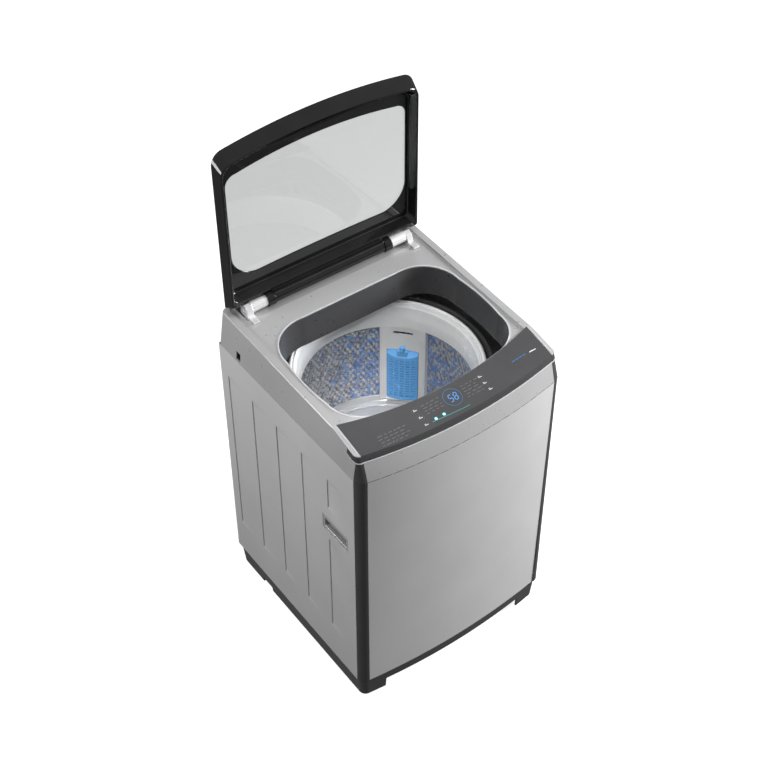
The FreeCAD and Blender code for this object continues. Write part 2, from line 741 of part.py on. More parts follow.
def make_lint_channel(azimuth, windowed):
    """Moulded water channel that stands on the drum's wall."""
    span = channel_angle(122.0, 219.0)
    z0 = 501.0
    z1 = RING_LOW - 1.0
    outer = turned([(218, z0), (DRUM_R - 0.2, z0), (DRUM_R - 0.2, z1), (218, z1)], span, azimuth - span / 2)
    thin = channel_angle(3.0, 219.0)
    inner = turned([(221, z0 - 1), (DRUM_R + 2, z0 - 1), (DRUM_R + 2, z1 - 3), (221, z1 - 3)],
                   span - 2 * thin, azimuth - span / 2 + thin)
    channel = outer.cut(inner)
    ends = [rod(4.5, V(205, y, 743), V(224, y, 743)) for y in (-22, 22)]
    slot = fuse(ends + [box(205, 224, -22, 22, 738.5, 747.5)])
    channel = channel.cut(about_z(slot, azimuth))
    if windowed:
        opening = channel_angle(86.0, 219.0)
        low = FILTER_Z[0] - 2
        high = FILTER_Z[1] + 3
        hole = turned([(205, low), (224, low), (224, high), (205, high)], opening, azimuth - opening / 2)
        channel = channel.cut(hole)
        ledge_span = channel_angle(90.0, 219.0)
        ledge = turned([(210, FILTER_Z[0] - 8), (218.2, FILTER_Z[0] - 10), (218.2, FILTER_Z[0] - 2.4),
                        (210, FILTER_Z[0] - 2.4)], ledge_span, azimuth - ledge_span / 2)
        channel = fuse([channel, ledge])
    return channel


def filter_outline(inset, back):
    """Plan of the filter case at azimuth 0: parallel sides and a front that bulges inwards."""
    half = FILTER_HALF_W - inset
    shoulder = 211.0 + inset
    return Part.Wire([
        arc(V(shoulder, -half, 0), V(FILTER_R_FRONT + inset, 0, 0), V(shoulder, half, 0)),
        line(V(shoulder, half, 0), V(back, half, 0)),
        line(V(back, half, 0), V(back, -half, 0)),
        line(V(back, -half, 0), V(shoulder, -half, 0)),
    ])


def filter_block(inset, back, z0, z1):
    """The case's outer or inner form, with its upper front edge sloped off."""
    block = extruded(filter_outline(inset, back), z1 - z0)
    block.translate(V(0, 0, z0))
    front = FILTER_R_FRONT + inset - 1
    slope = prism_x([(front, z1 - 18), (front, z1 + 1), (front + 17, z1 + 1)], -50, 50)
    return block.cut(about_z(slope, -90))


def make_lint_filter():
    """Blue lint trap: a slotted front shell with a knob on top."""
    z0, z1 = FILTER_Z
    wall = 3.0
    shell = filter_block(0, 230.0, z0, z1).cut(filter_block(wall, 240.0, z0 + 4, z1 - wall))
    pitch_across = 2 * (FILTER_HALF_W - 4.0) / FILTER_COLUMNS
    slots = []
    for row in range(FILTER_ROWS):
        z = z0 + 12 + 9.0 * row
        for column in range(FILTER_COLUMNS):
            y = (column - (FILTER_COLUMNS - 1) / 2) * pitch_across
            slots.append(box(200, 215, y - 5.0, y + 5.0, z, z + 4.5))
    base = box(206, 216.5, -14, 14, z1 - 12, z1 + 5)
    button = post(7, 209.5, 0, z1 + 4, z1 + 18)
    return about_z(fuse([shell.cut(group(slots)), base, button]), FILTER_AZ)


def make_pulsator():
    disc = turned([(INNER_SHAFT_R, 478), (30, 478), (40, 484), (PULSATOR_R, 482), (PULSATOR_R, 486),
                   (PULSATOR_R - 8, 491), (120, 490), (70, 494), (45, 508), (14, 512), (INNER_SHAFT_R, 512)])
    vanes = []
    for step in range(6):
        vane = prism_x([(40, 486), (190, 486), (190, 492), (150, 503), (90, 512), (40, 511)], -7, 7)
        vanes.append(about_z(vane, 60 * step))
    return fuse([disc] + vanes).cut(post(13.9, 0, 0, 507, 530))


def make_tub():
    profile = [(40, TUB_FLOOR - 4), (TUB_R_OUT - 12, TUB_FLOOR - 4), (TUB_R_OUT, TUB_FLOOR + 8),
               (TUB_R_OUT, TUB_TOP), (TUB_R_IN, TUB_TOP), (TUB_R_IN, TUB_FLOOR + 9),
               (TUB_R_OUT - 14, TUB_FLOOR), (40, TUB_FLOOR)]
    shell = turned(profile)
    ribs = [turned([(TUB_R_OUT - 0.2, z), (TUB_R_OUT + 5, z), (TUB_R_OUT + 5, z + 3), (TUB_R_OUT - 0.2, z + 3)])
            for z in (520, 620, 720)]
    lugs = []
    for step in range(4):
        lug = box(TUB_R_OUT - 3, ROD_XY * math.sqrt(2) + 16, -17, 17, 462, 482)
        hole = post(11, ROD_XY * math.sqrt(2), 0, 450, 500)
        lugs.append(about_z(lug.cut(hole), 45 + 90 * step))
    return fuse([shell] + ribs + lugs)


def make_tub_ring():
    profile = [(249, RING_TOP - 14), (255, RING_TOP - 2), (260, RING_TOP - 2), (TUB_R_OUT + 5, 806),
               (TUB_R_OUT + 5, 790), (TUB_R_OUT + 0.2, 790), (TUB_R_OUT + 0.2, TUB_TOP), (TUB_R_IN, TUB_TOP),
               (258, RING_TOP - 16)]
    return turned(profile)


def make_spring_cups():
    cups = []
    for step in range(4):
        cup = tube(16, 6.0, ROD_XY * math.sqrt(2), 0, 452, 462)
        sleeve = tube(10.8, 6.0, ROD_XY * math.sqrt(2), 0, 461.9, 482)
        cups.append(about_z(fuse([cup, sleeve]), 45 + 90 * step))
    return group(cups)


def rod_corners():
    return [(sx * ROD_XY, sy * ROD_XY) for sx in SIDES for sy in SIDES]


def make_suspension_rods():
    rods = []
    for x, y in rod_corners():
        head = turned([(0, 814.2), (11, 814.2), (13, 820), (11, 828), (5, 832), (0, 832)], x=x, y=y)
        rods.append(fuse([post(4, x, y, 316, 820), head]))
    return group(rods)


def make_rod_caps():
    return group([tube(17, 4.0, x, y, 322, 328) for x, y in rod_corners()])


def make_springs():
    springs = []
    turns = 9
    wire_r = 1.8
    coil_r = 11.0
    pitch = (SPRING_HIGH - SPRING_LOW - 2 * wire_r) / turns
    helix = Part.makeHelix(pitch, pitch * turns, coil_r)
    start = V(coil_r, 0, 0)
    section = Part.Wire(Part.makeCircle(wire_r, start, V(0, 1, pitch / (2 * math.pi * coil_r))))
    coil = Part.Wire(helix).makePipeShell([section], True, True)
    for x, y in rod_corners():
        copy = coil.copy()
        copy.translate(V(x, y, SPRING_LOW + wire_r))
        springs.append(copy)
    return group(springs)


# ---- drive --------------------------------------------------------------------------
def make_support_plate():
    plate = box(-150, 250, -110, 110, 428, 432)
    wings = box(-60, 60, -200, 200, 428, 432)
    hole = post(42, 0, 0, 400, 450)
    spacers = [post(9, x, y, 432, TUB_FLOOR - 4) for x, y in ((-120, -90), (-120, 90), (120, -90), (120, 90))]
    return fuse([plate, wings] + spacers).cut(hole)


def make_gearbox():
    """Clutch and planetary gearbox, with the bearing housing under the tub."""
    housing = turned([(HOLLOW_SHAFT_R + 0.4, 340), (62, 340), (68, 348), (68, 400), (60, 424), (60, 428),
                      (41.5, 428), (39.5, 434), (39.5, 455), (22, 455), (22, 446), (HOLLOW_SHAFT_R + 0.4, 446)])
    flange = turned([(60, 422), (100, 422), (100, 428), (60, 428)])
    lower = tube(38, INNER_SHAFT_R + 0.4, 0, 0, 312, 340)
    return fuse([housing, flange, lower])


def make_hollow_shaft():
    return tube(HOLLOW_SHAFT_R, INNER_SHAFT_R + 0.3, 0, 0, 352, 475)


def make_inner_shaft():
    return post(INNER_SHAFT_R, 0, 0, PULLEY_Z - 14, 507)


def make_pulley(radius, bore, x, z):
    groove = 4.0
    profile = [(bore, z - 9), (radius, z - 9), (radius, z - 7), (radius - groove, z - 3), (radius - groove, z + 3),
               (radius, z + 7), (radius, z + 9), (bore, z + 9)]
    return turned(profile, x=x)


def make_drive_pulley():
    pulley = make_pulley(PULLEY_R, INNER_SHAFT_R, 0, PULLEY_Z)
    lightening = []
    for step in range(6):
        lightening.append(about_z(post(15, 50, 0, PULLEY_Z - 20, PULLEY_Z + 20), 60 * step))
    return cut(pulley, lightening)


def make_belt():
    inner = belt_wire(0.4)
    outer = belt_wire(5.4)
    ring = Part.Face(outer).extrude(V(0, 0, 5.6)).cut(Part.Face(inner).extrude(V(0, 0, 5.6)))
    ring.translate(V(0, 0, PULLEY_Z - 2.8))
    return ring


def belt_wire(grow):
    """Loop round the two pulleys' groove floors, grown outwards by grow."""
    big = PULLEY_R - 4.0 + grow
    small = MOTOR_PULLEY_R - 4.0 + grow
    lean = math.acos((big - small) / MOTOR_OFFSET)
    c = math.cos(lean)
    s = math.sin(lean)
    a = V(big * c, big * s, 0)
    b = V(MOTOR_OFFSET + small * c, small * s, 0)
    a_low = V(a.x, -a.y, 0)
    b_low = V(b.x, -b.y, 0)
    return Part.Wire([arc(a, V(-big, 0, 0), a_low), line(a_low, b_low),
                      arc(b_low, V(MOTOR_OFFSET + small, 0, 0), b), line(b, a)])


def make_motor():
    x = MOTOR_OFFSET
    can = tube(58, 9.0, x, 0, 318, 408)
    fins = [about_axis(box(x + 57, x + 62, -2, 2, 330, 396), x, 30 * k) for k in range(12)]
    mounts = [post(8, x + dx, dy, 400, 428) for dx, dy in ((-36, -36), (36, -36), (-36, 36), (36, 36))]
    return fuse([can] + fins + mounts)


def about_axis(shape, x, angle):
    copy = shape.copy()
    copy.rotate(V(x, 0, 0), Z_AXIS, angle)
    return copy


def make_motor_shaft():
    return post(7, MOTOR_OFFSET, 0, PULLEY_Z - 12, 402)


def make_drain_valve():
    """Drain valve under the tub with its pulling actuator."""
    body = post(24, -185, 60, 392, TUB_FLOOR - 4.2)
    outlet = rod(14, V(-185, 60, 405), V(-238, 60, 405)).cut(rod(11, V(-205, 60, 405), V(-240, 60, 405)))
    actuator = box(-180, -148, 92, 150, 388, 424)
    link = rod(4, V(-180, 75, 405), V(-168, 95, 405))
    return fuse([body, outlet, link, actuator])


def make_drain_spigot():
    pipe = rod(15, V(205, 240, 125), V(205, 328, 125))
    flange = rod(24, V(205, BACK - 2 * SHEET - 4, 125), V(205, BACK - 2 * SHEET - 0.2, 125))
    barb = Part.makeCone(16.0, 15.0, 6, V(205, 306, 125), Y_AXIS)
    bore = rod(12, V(205, 230, 125), V(205, 340, 125))
    return fuse([pipe, flange, barb]).cut(bore)


def make_cord_gland():
    sleeve = rod(9, V(-215, BACK - 12, 130), V(-215, BACK + 10, 130))
    head = rod(14, V(-215, BACK - SHEET, 130), V(-215, BACK + 3, 130))
    bore = rod(4.5, V(-215, BACK - 20, 130), V(-215, BACK + 20, 130))
    return fuse([sleeve, head]).cut(bore)


def make_rear_screws():
    screws = []
    for x in (-180, 180):
        for z in (180, 415, 650):
            head = rod(4.5, V(x, BACK, z), V(x, BACK + 2.4, z))
            cross = box(x - 2.6, x + 2.6, BACK + 1.4, BACK + 3, z - 0.6, z + 0.6)
            screws.append(head.cut(cross))
    return group(screws)


# ---- the assembly -------------------------------------------------------------------
def add(name, shape):
    NODES[name] = shape


def build():
    side = make_side_panel()
    add("side_panel_left", side)
    add("side_panel_right", mirrored(side))
    cup = make_handle_cup()
    add("handle_cups", group([cup, mirrored(cup)]))
    add("front_panel", bowed_sheet(SKIRT_Z, FRONT_LOW, BOW_LOW, SEAM_Z, FRONT, BOW_TOP,
                                   HALF_W - CORNER_R - 0.2, SHEET))
    trim = make_corner_trim()
    add("corner_trims", group([trim, mirrored(trim)] + corner_inserts(0.0, 0.8)))
    add("base_frame", make_base())
    for label, x in (("left", -FOOT_XY), ("right", FOOT_XY)):
        pad, stud = make_foot(x, -FOOT_XY)
        add("front_foot_pad_" + label, pad)
        add("front_foot_stud_" + label, stud)
    rear = [make_foot(x, FOOT_XY) for x in (-FOOT_XY, FOOT_XY)]
    add("rear_foot_pads", group([pad for pad, stud in rear]))
    add("rear_foot_studs", group([stud for pad, stud in rear]))
    add("corner_brackets", make_corner_brackets())
    add("rear_panel", make_rear_panel())
    add("rear_cover", make_rear_cover())
    add("rear_cover_screws", make_rear_screws())
    add("power_cord_gland", make_cord_gland())
    add("drain_spigot", make_drain_spigot())
    add("top_cover", make_top_cover())
    add("well_liner", make_well_liner())
    add("opening_trim", make_opening_trim())
    add("console_glass", make_console_glass())
    add("console_lip", make_console_lip())
    add("console_trim", make_console_trim())
    add("control_board", make_control_board())
    add("inlet_valve", make_inlet_valve())
    add("water_chute", make_water_chute())
    add("lid_switch", make_lid_switch())
    add("water_level_sensor", make_level_sensor())
    add("hinge_brackets", group([make_hinge_bracket(side) for side in SIDES]))
    add("hinge_barrels", group([make_barrel(side) for side in SIDES]))
    add("hinge_pins", group([make_hinge_pin(side) for side in SIDES]))
    add("lid_frame", make_lid_frame())
    add("lid_glass", make_lid_glass())
    add("lid_gasket", make_lid_gasket())
    add("lid_end_discs", group([make_disc(-1), make_disc(1)]))
    add("suspension_rods", make_suspension_rods())
    add("suspension_rod_caps", make_rod_caps())
    add("suspension_springs", make_springs())
    add("spring_cups", make_spring_cups())
    add("outer_tub", make_tub())
    add("tub_ring", make_tub_ring())
    add("support_plate", make_support_plate())
    add("gearbox", make_gearbox())
    add("motor", make_motor())
    add("drive_belt", make_belt())
    add("drain_valve", make_drain_valve())
    add("balance_ring", make_balance_ring())
    add("drum_wall", make_drum_wall())
    add("drum_base", make_drum_base())
    add("lint_channel_filter_side", make_lint_channel(FILTER_AZ, True))
    add("lint_channel_plain", make_lint_channel(FILTER_AZ + 180, False))
    add("hollow_shaft", make_hollow_shaft())
    add("lint_filter", make_lint_filter())
    add("pulsator", make_pulsator())
    add("pulsator_cap", post(13.5, 0, 0, 507.2, 514))
    add("inner_shaft", make_inner_shaft())
    add("drive_pulley", make_drive_pulley())
    add("motor_shaft", make_motor_shaft())
    add("motor_pulley", make_pulley(MOTOR_PULLEY_R, 7.0, MOTOR_OFFSET, PULLEY_Z))


build()
os.makedirs("parts", exist_ok=True)
for name, shape in NODES.items():
    bound = shape.BoundBox
    state = "ok" if shape.isValid() else "INVALID"
    print("%-26s %-7s solids %2d  volume %10.0f  z %7.1f..%7.1f"
          % (name, state, len(shape.Solids), shape.Volume, bound.ZMin, bound.ZMax))
    shape.exportStep("parts/" + name + ".step")
print(len(NODES), "nodes")
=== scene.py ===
import json
import math
import random

import bmesh
import bpy
from mathutils import Matrix, Vector

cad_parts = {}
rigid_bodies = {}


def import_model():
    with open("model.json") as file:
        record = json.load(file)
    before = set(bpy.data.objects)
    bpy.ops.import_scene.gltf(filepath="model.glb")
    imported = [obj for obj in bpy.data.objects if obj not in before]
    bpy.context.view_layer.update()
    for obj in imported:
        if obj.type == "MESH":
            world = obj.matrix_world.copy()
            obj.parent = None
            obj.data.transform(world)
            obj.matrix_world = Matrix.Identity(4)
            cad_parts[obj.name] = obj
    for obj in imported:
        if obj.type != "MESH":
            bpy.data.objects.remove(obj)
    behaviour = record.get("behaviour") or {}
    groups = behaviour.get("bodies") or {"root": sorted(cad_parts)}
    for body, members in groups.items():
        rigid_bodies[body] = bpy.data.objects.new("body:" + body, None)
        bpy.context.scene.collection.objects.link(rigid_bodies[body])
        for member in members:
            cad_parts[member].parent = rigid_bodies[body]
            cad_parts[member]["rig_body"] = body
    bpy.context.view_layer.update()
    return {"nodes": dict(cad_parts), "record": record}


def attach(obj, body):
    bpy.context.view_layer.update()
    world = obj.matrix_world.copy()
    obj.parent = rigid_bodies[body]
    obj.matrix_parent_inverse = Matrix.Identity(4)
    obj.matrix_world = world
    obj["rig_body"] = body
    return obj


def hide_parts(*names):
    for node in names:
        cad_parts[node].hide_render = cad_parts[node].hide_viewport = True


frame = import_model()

# Looks of the top-loading washing machine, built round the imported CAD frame.
# Everything is in metres, in the frame's own axes: the front faces -Y, +Z is up.

# ---- places and sizes that the CAD solids share ------------------------------------
MM = 0.001
HALF_W = 300.0 * MM
BACK = 298.5 * MM
FRONT = -300.0 * MM
BOW_TOP = 28.0 * MM
CORNER_R = 23.0 * MM
SKIRT_Z = 85.0 * MM
SEAM_Z = 851.0 * MM
COVER_TOP = 960.0 * MM
COVER_HALF_W = 289.5 * MM
COVER_FRONT = -268.0 * MM
COVER_BOW = 20.0 * MM
COVER_CORNER_R = 9.0 * MM
CONSOLE_BACK = -183.0 * MM
CONSOLE_FALL = 0.2165
CONSOLE_Z = 944.0 * MM
DRUM_R = 236.0 * MM
DRUM_FLOOR = 480.0 * MM
RING_LOW = 763.0 * MM
PULSATOR_R = 206.0 * MM
FILTER_AZ = math.radians(43.0)
RIB_Y = [264.0 * MM, 155.5 * MM, 49.0 * MM, -59.0 * MM, -167.5 * MM]
RIB_LOW = 204.0 * MM
RIB_HIGH = 762.0 * MM
HANDLE_Y = (-249.0 * MM, -143.0 * MM)
HANDLE_Z = (571.0 * MM, 621.0 * MM)
RIB_BREAK = (547.0 * MM, 660.0 * MM)


# ---- mesh helpers ---------------------------------------------------------------------
def piece(name, mesh, body, slot, stands_for=(), finish=None):
    """Link a mesh as a piece that rides on a body and takes a slot's material, or another finish."""
    obj = bpy.data.objects.new(name, mesh)
    bpy.context.scene.collection.objects.link(obj)
    mesh.materials.clear()
    mesh.materials.append(MATERIALS[finish or slot])
    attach(obj, body)
    if stands_for:
        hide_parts(*stands_for)
    return obj


def mesh_of(name, points, faces):
    mesh = bpy.data.meshes.new(name)
    mesh.from_pydata(points, [], faces)
    mesh.update()
    return mesh


def smooth(mesh, angle=35.0):
    """Smooth shading with edges sharper than the angle left crisp."""
    bm = bmesh.new()
    bm.from_mesh(mesh)
    for face in bm.faces:
        face.smooth = True
    for edge in bm.edges:
        edge.smooth = len(edge.link_faces) == 2 and edge.calc_face_angle(0.0) < math.radians(angle)
    bm.to_mesh(mesh)
    bm.free()
    return mesh


def grid(name, rows, columns, place, wrap=False, wrap_rows=False, keep=None):
    """A sheet of rows by columns quads; place(i, j) gives each corner."""
    across = columns if wrap else columns + 1
    down = rows if wrap_rows else rows + 1
    points = [place(i, j) for i in range(down) for j in range(across)]
    faces = []
    for i in range(rows):
        for j in range(columns):
            if keep is None or keep(i, j):
                i2 = (i + 1) % down
                j2 = (j + 1) % across
                faces.append((i * across + j, i * across + j2, i2 * across + j2, i2 * across + j))
    return mesh_of(name, points, faces)


def turned(name, profile, segments=240):
    """A closed profile of (radius, height) turned about the Z axis."""
    def place(i, j):
        angle = 2 * math.pi * j / segments
        r, z = profile[i]
        return (r * math.cos(angle), r * math.sin(angle), z)
    mesh = grid(name, len(profile), segments, place, wrap=True, wrap_rows=True)
    face_out(mesh)
    return smooth(mesh)


def face_out(mesh, merge=1e-7):
    """Turn every face outward, first joining points closer than merge."""
    bm = bmesh.new()
    bm.from_mesh(mesh)
    if merge:
        bmesh.ops.remove_doubles(bm, verts=bm.verts, dist=merge)
    bmesh.ops.recalc_face_normals(bm, faces=bm.faces)
    bm.to_mesh(mesh)
    bm.free()


def rounded_profile(points, radius, steps=4):
    """The same closed polygon with every corner rounded."""
    made = []
    count = len(points)
    for k in range(count):
        before, corner, after = (Vector(points[(k + d) % count]) for d in (-1, 0, 1))
        to_before = before - corner
        to_after = after - corner
        reach = min(radius, 0.45 * to_before.length, 0.45 * to_after.length)
        a = corner + to_before.normalized() * reach
        b = corner + to_after.normalized() * reach
        for step in range(steps + 1):
            t = step / steps
            made.append(tuple(a.lerp(corner, t).lerp(corner.lerp(b, t), t)))
    return made


def swept(name, path, section, closed=False, up=Vector((0, 0, 1))):
    """A section of (side, up) offsets swept along a path of points."""
    count = len(path)
    rings = []
    for k in range(count):
        before = path[k - 1] if closed or k > 0 else path[k]
        after = path[(k + 1) % count] if closed or k < count - 1 else path[k]
        ahead = (after - before).normalized()
        side = ahead.cross(up).normalized()
        top = side.cross(ahead)
        rings.append([path[k] + side * s + top * u for s, u in section])
    size = len(section)
    points = [p for ring in rings for p in ring]
    faces = []
    last = count if closed else count - 1
    for i in range(last):
        for j in range(size):
            i2 = (i + 1) % count
            j2 = (j + 1) % size
            faces.append((i * size + j, i * size + j2, i2 * size + j2, i2 * size + j))
    if not closed:
        faces.append(tuple(reversed(range(size))))
        faces.append(tuple((count - 1) * size + j for j in range(size)))
    mesh = mesh_of(name, points, faces)
    face_out(mesh)
    return smooth(mesh, 50.0)


def circle_section(radius, count=10):
    return [(radius * math.cos(2 * math.pi * k / count), radius * math.sin(2 * math.pi * k / count))
            for k in range(count)]


def eased(name, node, width, segments=2, angle=28.0):
    """A copy of a CAD node's shape, its flat facets merged and its hard edges rounded."""
    mesh = frame["nodes"][node].data.copy()
    mesh.name = name
    for layer in ("custom_normal", "sharp_face", "sharp_edge"):
        if layer in mesh.attributes:
            mesh.attributes.remove(mesh.attributes[layer])
    bm = bmesh.new()
    bm.from_mesh(mesh)
    bmesh.ops.remove_doubles(bm, verts=bm.verts, dist=2e-6)
    bmesh.ops.dissolve_limit(bm, angle_limit=math.radians(0.4), verts=bm.verts, edges=bm.edges)
    bm.to_mesh(mesh)
    bm.free()
    body = frame["nodes"][node]["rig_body"]
    slot_name = SLOT_OF[node]
    obj = piece(name, smooth(mesh, 60.0), body, slot_name, (node,))
    bevel = obj.modifiers.new("edges", "BEVEL")
    bevel.width = width
    bevel.segments = segments
    bevel.limit_method = "ANGLE"
    bevel.angle_limit = math.radians(angle)
    bevel.use_clamp_overlap = False
    bevel.harden_normals = True
    bevel.miter_outer = "MITER_ARC"
    return obj


# ---- materials --------------------------------------------------------------------------
class Finish:
    """A Principled material with helpers for its procedural detail."""

    def __init__(self, name, color, roughness, metallic=0.0):
        self.material = bpy.data.materials.new(name)
        self.material.use_nodes = True
        self.tree = self.material.node_tree
        self.shader = self.tree.nodes["Principled BSDF"]
        self.color = color
        self.roughness = roughness
        self.set("Metallic", metallic)
        self.set("Base Color", (*color, 1.0))
        self.set("Roughness", roughness)
        self.height = None

    def set(self, socket, value):
        self.shader.inputs[socket].default_value = value

    def node(self, kind, **values):
        made = self.tree.nodes.new(kind)
        for key, value in values.items():
            if hasattr(made, key):
                setattr(made, key, value)
            else:
                made.inputs[key].default_value = value
        return made

    def link(self, source, target):
        self.tree.links.new(source, target)

    def place(self, scale=(1, 1, 1)):
        coords = self.node("ShaderNodeTexCoord")
        mapping = self.node("ShaderNodeMapping")
        mapping.inputs["Scale"].default_value = scale
        self.link(coords.outputs["Object"], mapping.inputs["Vector"])
        return mapping.outputs["Vector"]

    def noise(self, scale, detail=3.0, stretch=(1, 1, 1), roughness=0.55):
        made = self.node("ShaderNodeTexNoise")
        made.inputs["Scale"].default_value = scale
        made.inputs["Detail"].default_value = detail
        made.inputs["Roughness"].default_value = roughness
        self.link(self.place(stretch), made.inputs["Vector"])
        return made.outputs["Fac"]

    def span(self, source, low, high, from_low=0.3, from_high=0.7):
        made = self.node("ShaderNodeMapRange")
        made.inputs["From Min"].default_value = from_low
        made.inputs["From Max"].default_value = from_high
        made.inputs["To Min"].default_value = low
        made.inputs["To Max"].default_value = high
        self.link(source, made.inputs["Value"])
        return made.outputs["Result"]

    def tint(self, source, dark, light):
        """Base colour that wanders between two shades of the material's own colour."""
        ramp = self.node("ShaderNodeValToRGB")
        ramp.color_ramp.elements[0].position = 0.3
        ramp.color_ramp.elements[1].position = 0.7
        ramp.color_ramp.elements[0].color = (*[c * dark for c in self.color], 1.0)
        ramp.color_ramp.elements[1].color = (*[min(c * light, 1.0) for c in self.color], 1.0)
        self.link(source, ramp.inputs["Fac"])
        self.link(ramp.outputs["Color"], self.shader.inputs["Base Color"])
        return ramp.outputs["Color"]

    def blend_color(self, source, color, other):
        """Mix a colour output with a fixed colour by a factor."""
        made = self.node("ShaderNodeMix", data_type="RGBA")
        color_a, color_b, color_result = made.inputs[6], made.inputs[7], made.outputs[2]
        self.link(source, made.inputs["Factor"])
        self.link(color, color_a)
        color_b.default_value = (*other, 1.0)
        return color_result

    def vary_roughness(self, source, spread):
        low = max(self.roughness - spread, 0.02)
        self.link(self.span(source, low, self.roughness + spread), self.shader.inputs["Roughness"])

    def bump(self, source, depth, strength=1.0):
        """Add one more layer of surface relief, depth in metres."""
        made = self.node("ShaderNodeBump")
        made.inputs["Strength"].default_value = strength
        made.inputs["Distance"].default_value = depth
        self.link(source, made.inputs["Height"])
        if self.height is not None:
            self.link(self.height, made.inputs["Normal"])
        self.height = made.outputs["Normal"]
        self.link(self.height, self.shader.inputs["Normal"])


def painted(name, color, roughness, metallic, coat):
    """Metallic enamel: fine flake, a trace of orange peel and faint mottling."""
    f = Finish(name, color, roughness, metallic)
    f.set("Coat Weight", coat)
    f.set("Coat Roughness", 0.18)
    f.tint(f.noise(6.0, 4.0), 0.965, 1.03)
    f.vary_roughness(f.noise(40.0, 3.0), 0.03)
    f.bump(f.noise(420.0, 2.0), 0.00002, 0.06)
    f.bump(f.noise(1300.0, 1.0), 0.00001, 0.03)
    return f


def moulded(name, color, roughness, grain=900.0, depth=0.00004, coat=0.0):
    """Moulded plastic with a fine spark-eroded grain."""
    f = Finish(name, color, roughness)
    f.set("Coat Weight", coat)
    f.tint(f.noise(9.0, 3.0), 0.93, 1.06)
    f.vary_roughness(f.noise(70.0, 3.0), 0.05)
    f.bump(f.noise(grain, 2.0), depth, 0.06)
    return f


def metal(name, color, roughness, stretch=(1, 1, 30), depth=0.00003, scale=160.0, shine=1.0):
    """Metal with fine drawn or brushed marks along one direction."""
    f = Finish(name, color, roughness, shine)
    marks = f.noise(scale, 4.0, stretch)
    f.tint(marks, 0.9, 1.06)
    f.vary_roughness(f.noise(scale * 0.5, 3.0, stretch), roughness * 0.3)
    f.bump(marks, depth, 0.3)
    return f


def galvanised(name):
    f = Finish(name, (0.52, 0.53, 0.54), 0.42, 0.9)
    made = f.node("ShaderNodeTexVoronoi")
    made.inputs["Scale"].default_value = 55.0
    f.link(f.place(), made.inputs["Vector"])
    f.tint(made.outputs["Color"], 0.96, 1.05)
    f.vary_roughness(f.noise(25.0), 0.08)
    f.bump(f.noise(300.0, 3.0), 0.00003, 0.3)
    return f


def clear_glass(name):
    """Clear pane with a slight waviness."""
    f = Finish(name, (0.50, 0.51, 0.51), 0.02)
    f.set("Transmission Weight", 1.0)
    f.set("IOR", 1.5)
    f.bump(f.noise(18.0, 2.0), 0.00002, 0.15)
    return f


def rubber(name):
    f = Finish(name, (0.018, 0.018, 0.019), 0.62)
    f.tint(f.noise(14.0, 4.0), 0.8, 1.4)
    f.vary_roughness(f.noise(90.0), 0.08)
    f.bump(f.noise(700.0, 3.0), 0.00005, 0.4)
    return f


def drum_steel(name):
    """Bright pressed stainless steel with painted shade in its hollows and on random facets, and a painted
    reflection of the filter's blue near it.
    """
    f = Finish(name, (0.95, 0.95, 0.96), 0.16, 0.7)
    steel = f.tint(f.noise(30.0, 3.0), 0.92, 1.05)
    painted_light = f.node("ShaderNodeAttribute", attribute_name="painted_light")
    channels = f.node("ShaderNodeSeparateColor")
    f.link(painted_light.outputs["Color"], channels.inputs["Color"])
    # Painted shade: the attribute's red darkens the steel towards near-black, per facet and in the hollows.
    painted_facet_shade = f.blend_color(channels.outputs["Red"], steel, (0.07, 0.07, 0.075))
    # Painted reflection of the blue filter, mixed in by the attribute's blue.
    painted_filter_reflection = f.blend_color(channels.outputs["Blue"], painted_facet_shade, (0.16, 0.40, 0.95))
    f.link(painted_filter_reflection, f.shader.inputs["Base Color"])
    f.vary_roughness(f.noise(120.0, 3.0, (1, 1, 8)), 0.06)
    f.bump(f.noise(260.0, 3.0, (1, 1, 6)), 0.00005, 0.3)
    return f


def milky(name, color, roughness, transmission):
    """Translucent moulding: light passes and scatters inside the wall."""
    f = Finish(name, color, roughness)
    f.set("Transmission Weight", transmission)
    f.set("IOR", 1.45)
    f.tint(f.noise(16.0, 3.0), 0.95, 1.04)
    f.vary_roughness(f.noise(60.0), 0.04)
    f.bump(f.noise(350.0, 2.0), 0.00003, 0.25)
    return f


def circuit(name):
    f = Finish(name, (0.015, 0.11, 0.045), 0.35)
    bricks = f.node("ShaderNodeTexBrick")
    bricks.inputs["Scale"].default_value = 90.0
    bricks.inputs["Color1"].default_value = (0.012, 0.10, 0.04, 1)
    bricks.inputs["Color2"].default_value = (0.02, 0.14, 0.06, 1)
    bricks.inputs["Mortar"].default_value = (0.25, 0.2, 0.08, 1)
    f.link(f.place(), bricks.inputs["Vector"])
    f.link(bricks.outputs["Color"], f.shader.inputs["Base Color"])
    f.bump(bricks.outputs["Fac"], 0.00005, 0.4)
    return f


def black_gloss(name):
    f = Finish(name, (0.006, 0.006, 0.0065), 0.05)
    f.set("IOR", 1.6)
    f.tint(f.noise(12.0, 3.0), 0.8, 1.3)
    f.vary_roughness(f.noise(35.0, 4.0), 0.02)
    f.bump(f.noise(90.0, 2.0), 0.00001, 0.1)
    return f


def smoked_console(name):
    f = Finish(name, (0.05, 0.05, 0.052), 0.16)
    f.set("Coat Weight", 0.6)
    f.set("Coat Roughness", 0.06)
    f.tint(f.noise(10.0, 3.0), 0.92, 1.08)
    f.vary_roughness(f.noise(50.0, 3.0), 0.03)
    f.bump(f.noise(500.0, 2.0), 0.00001, 0.15)
    return f


def glow(name, color, strength):
    f = Finish(name, (0.02, 0.02, 0.02), 0.4)
    f.set("Emission Color", (*color, 1.0))
    f.set("Emission Strength", strength)
    f.tint(f.noise(300.0, 2.0), 0.8, 1.2)
    return f


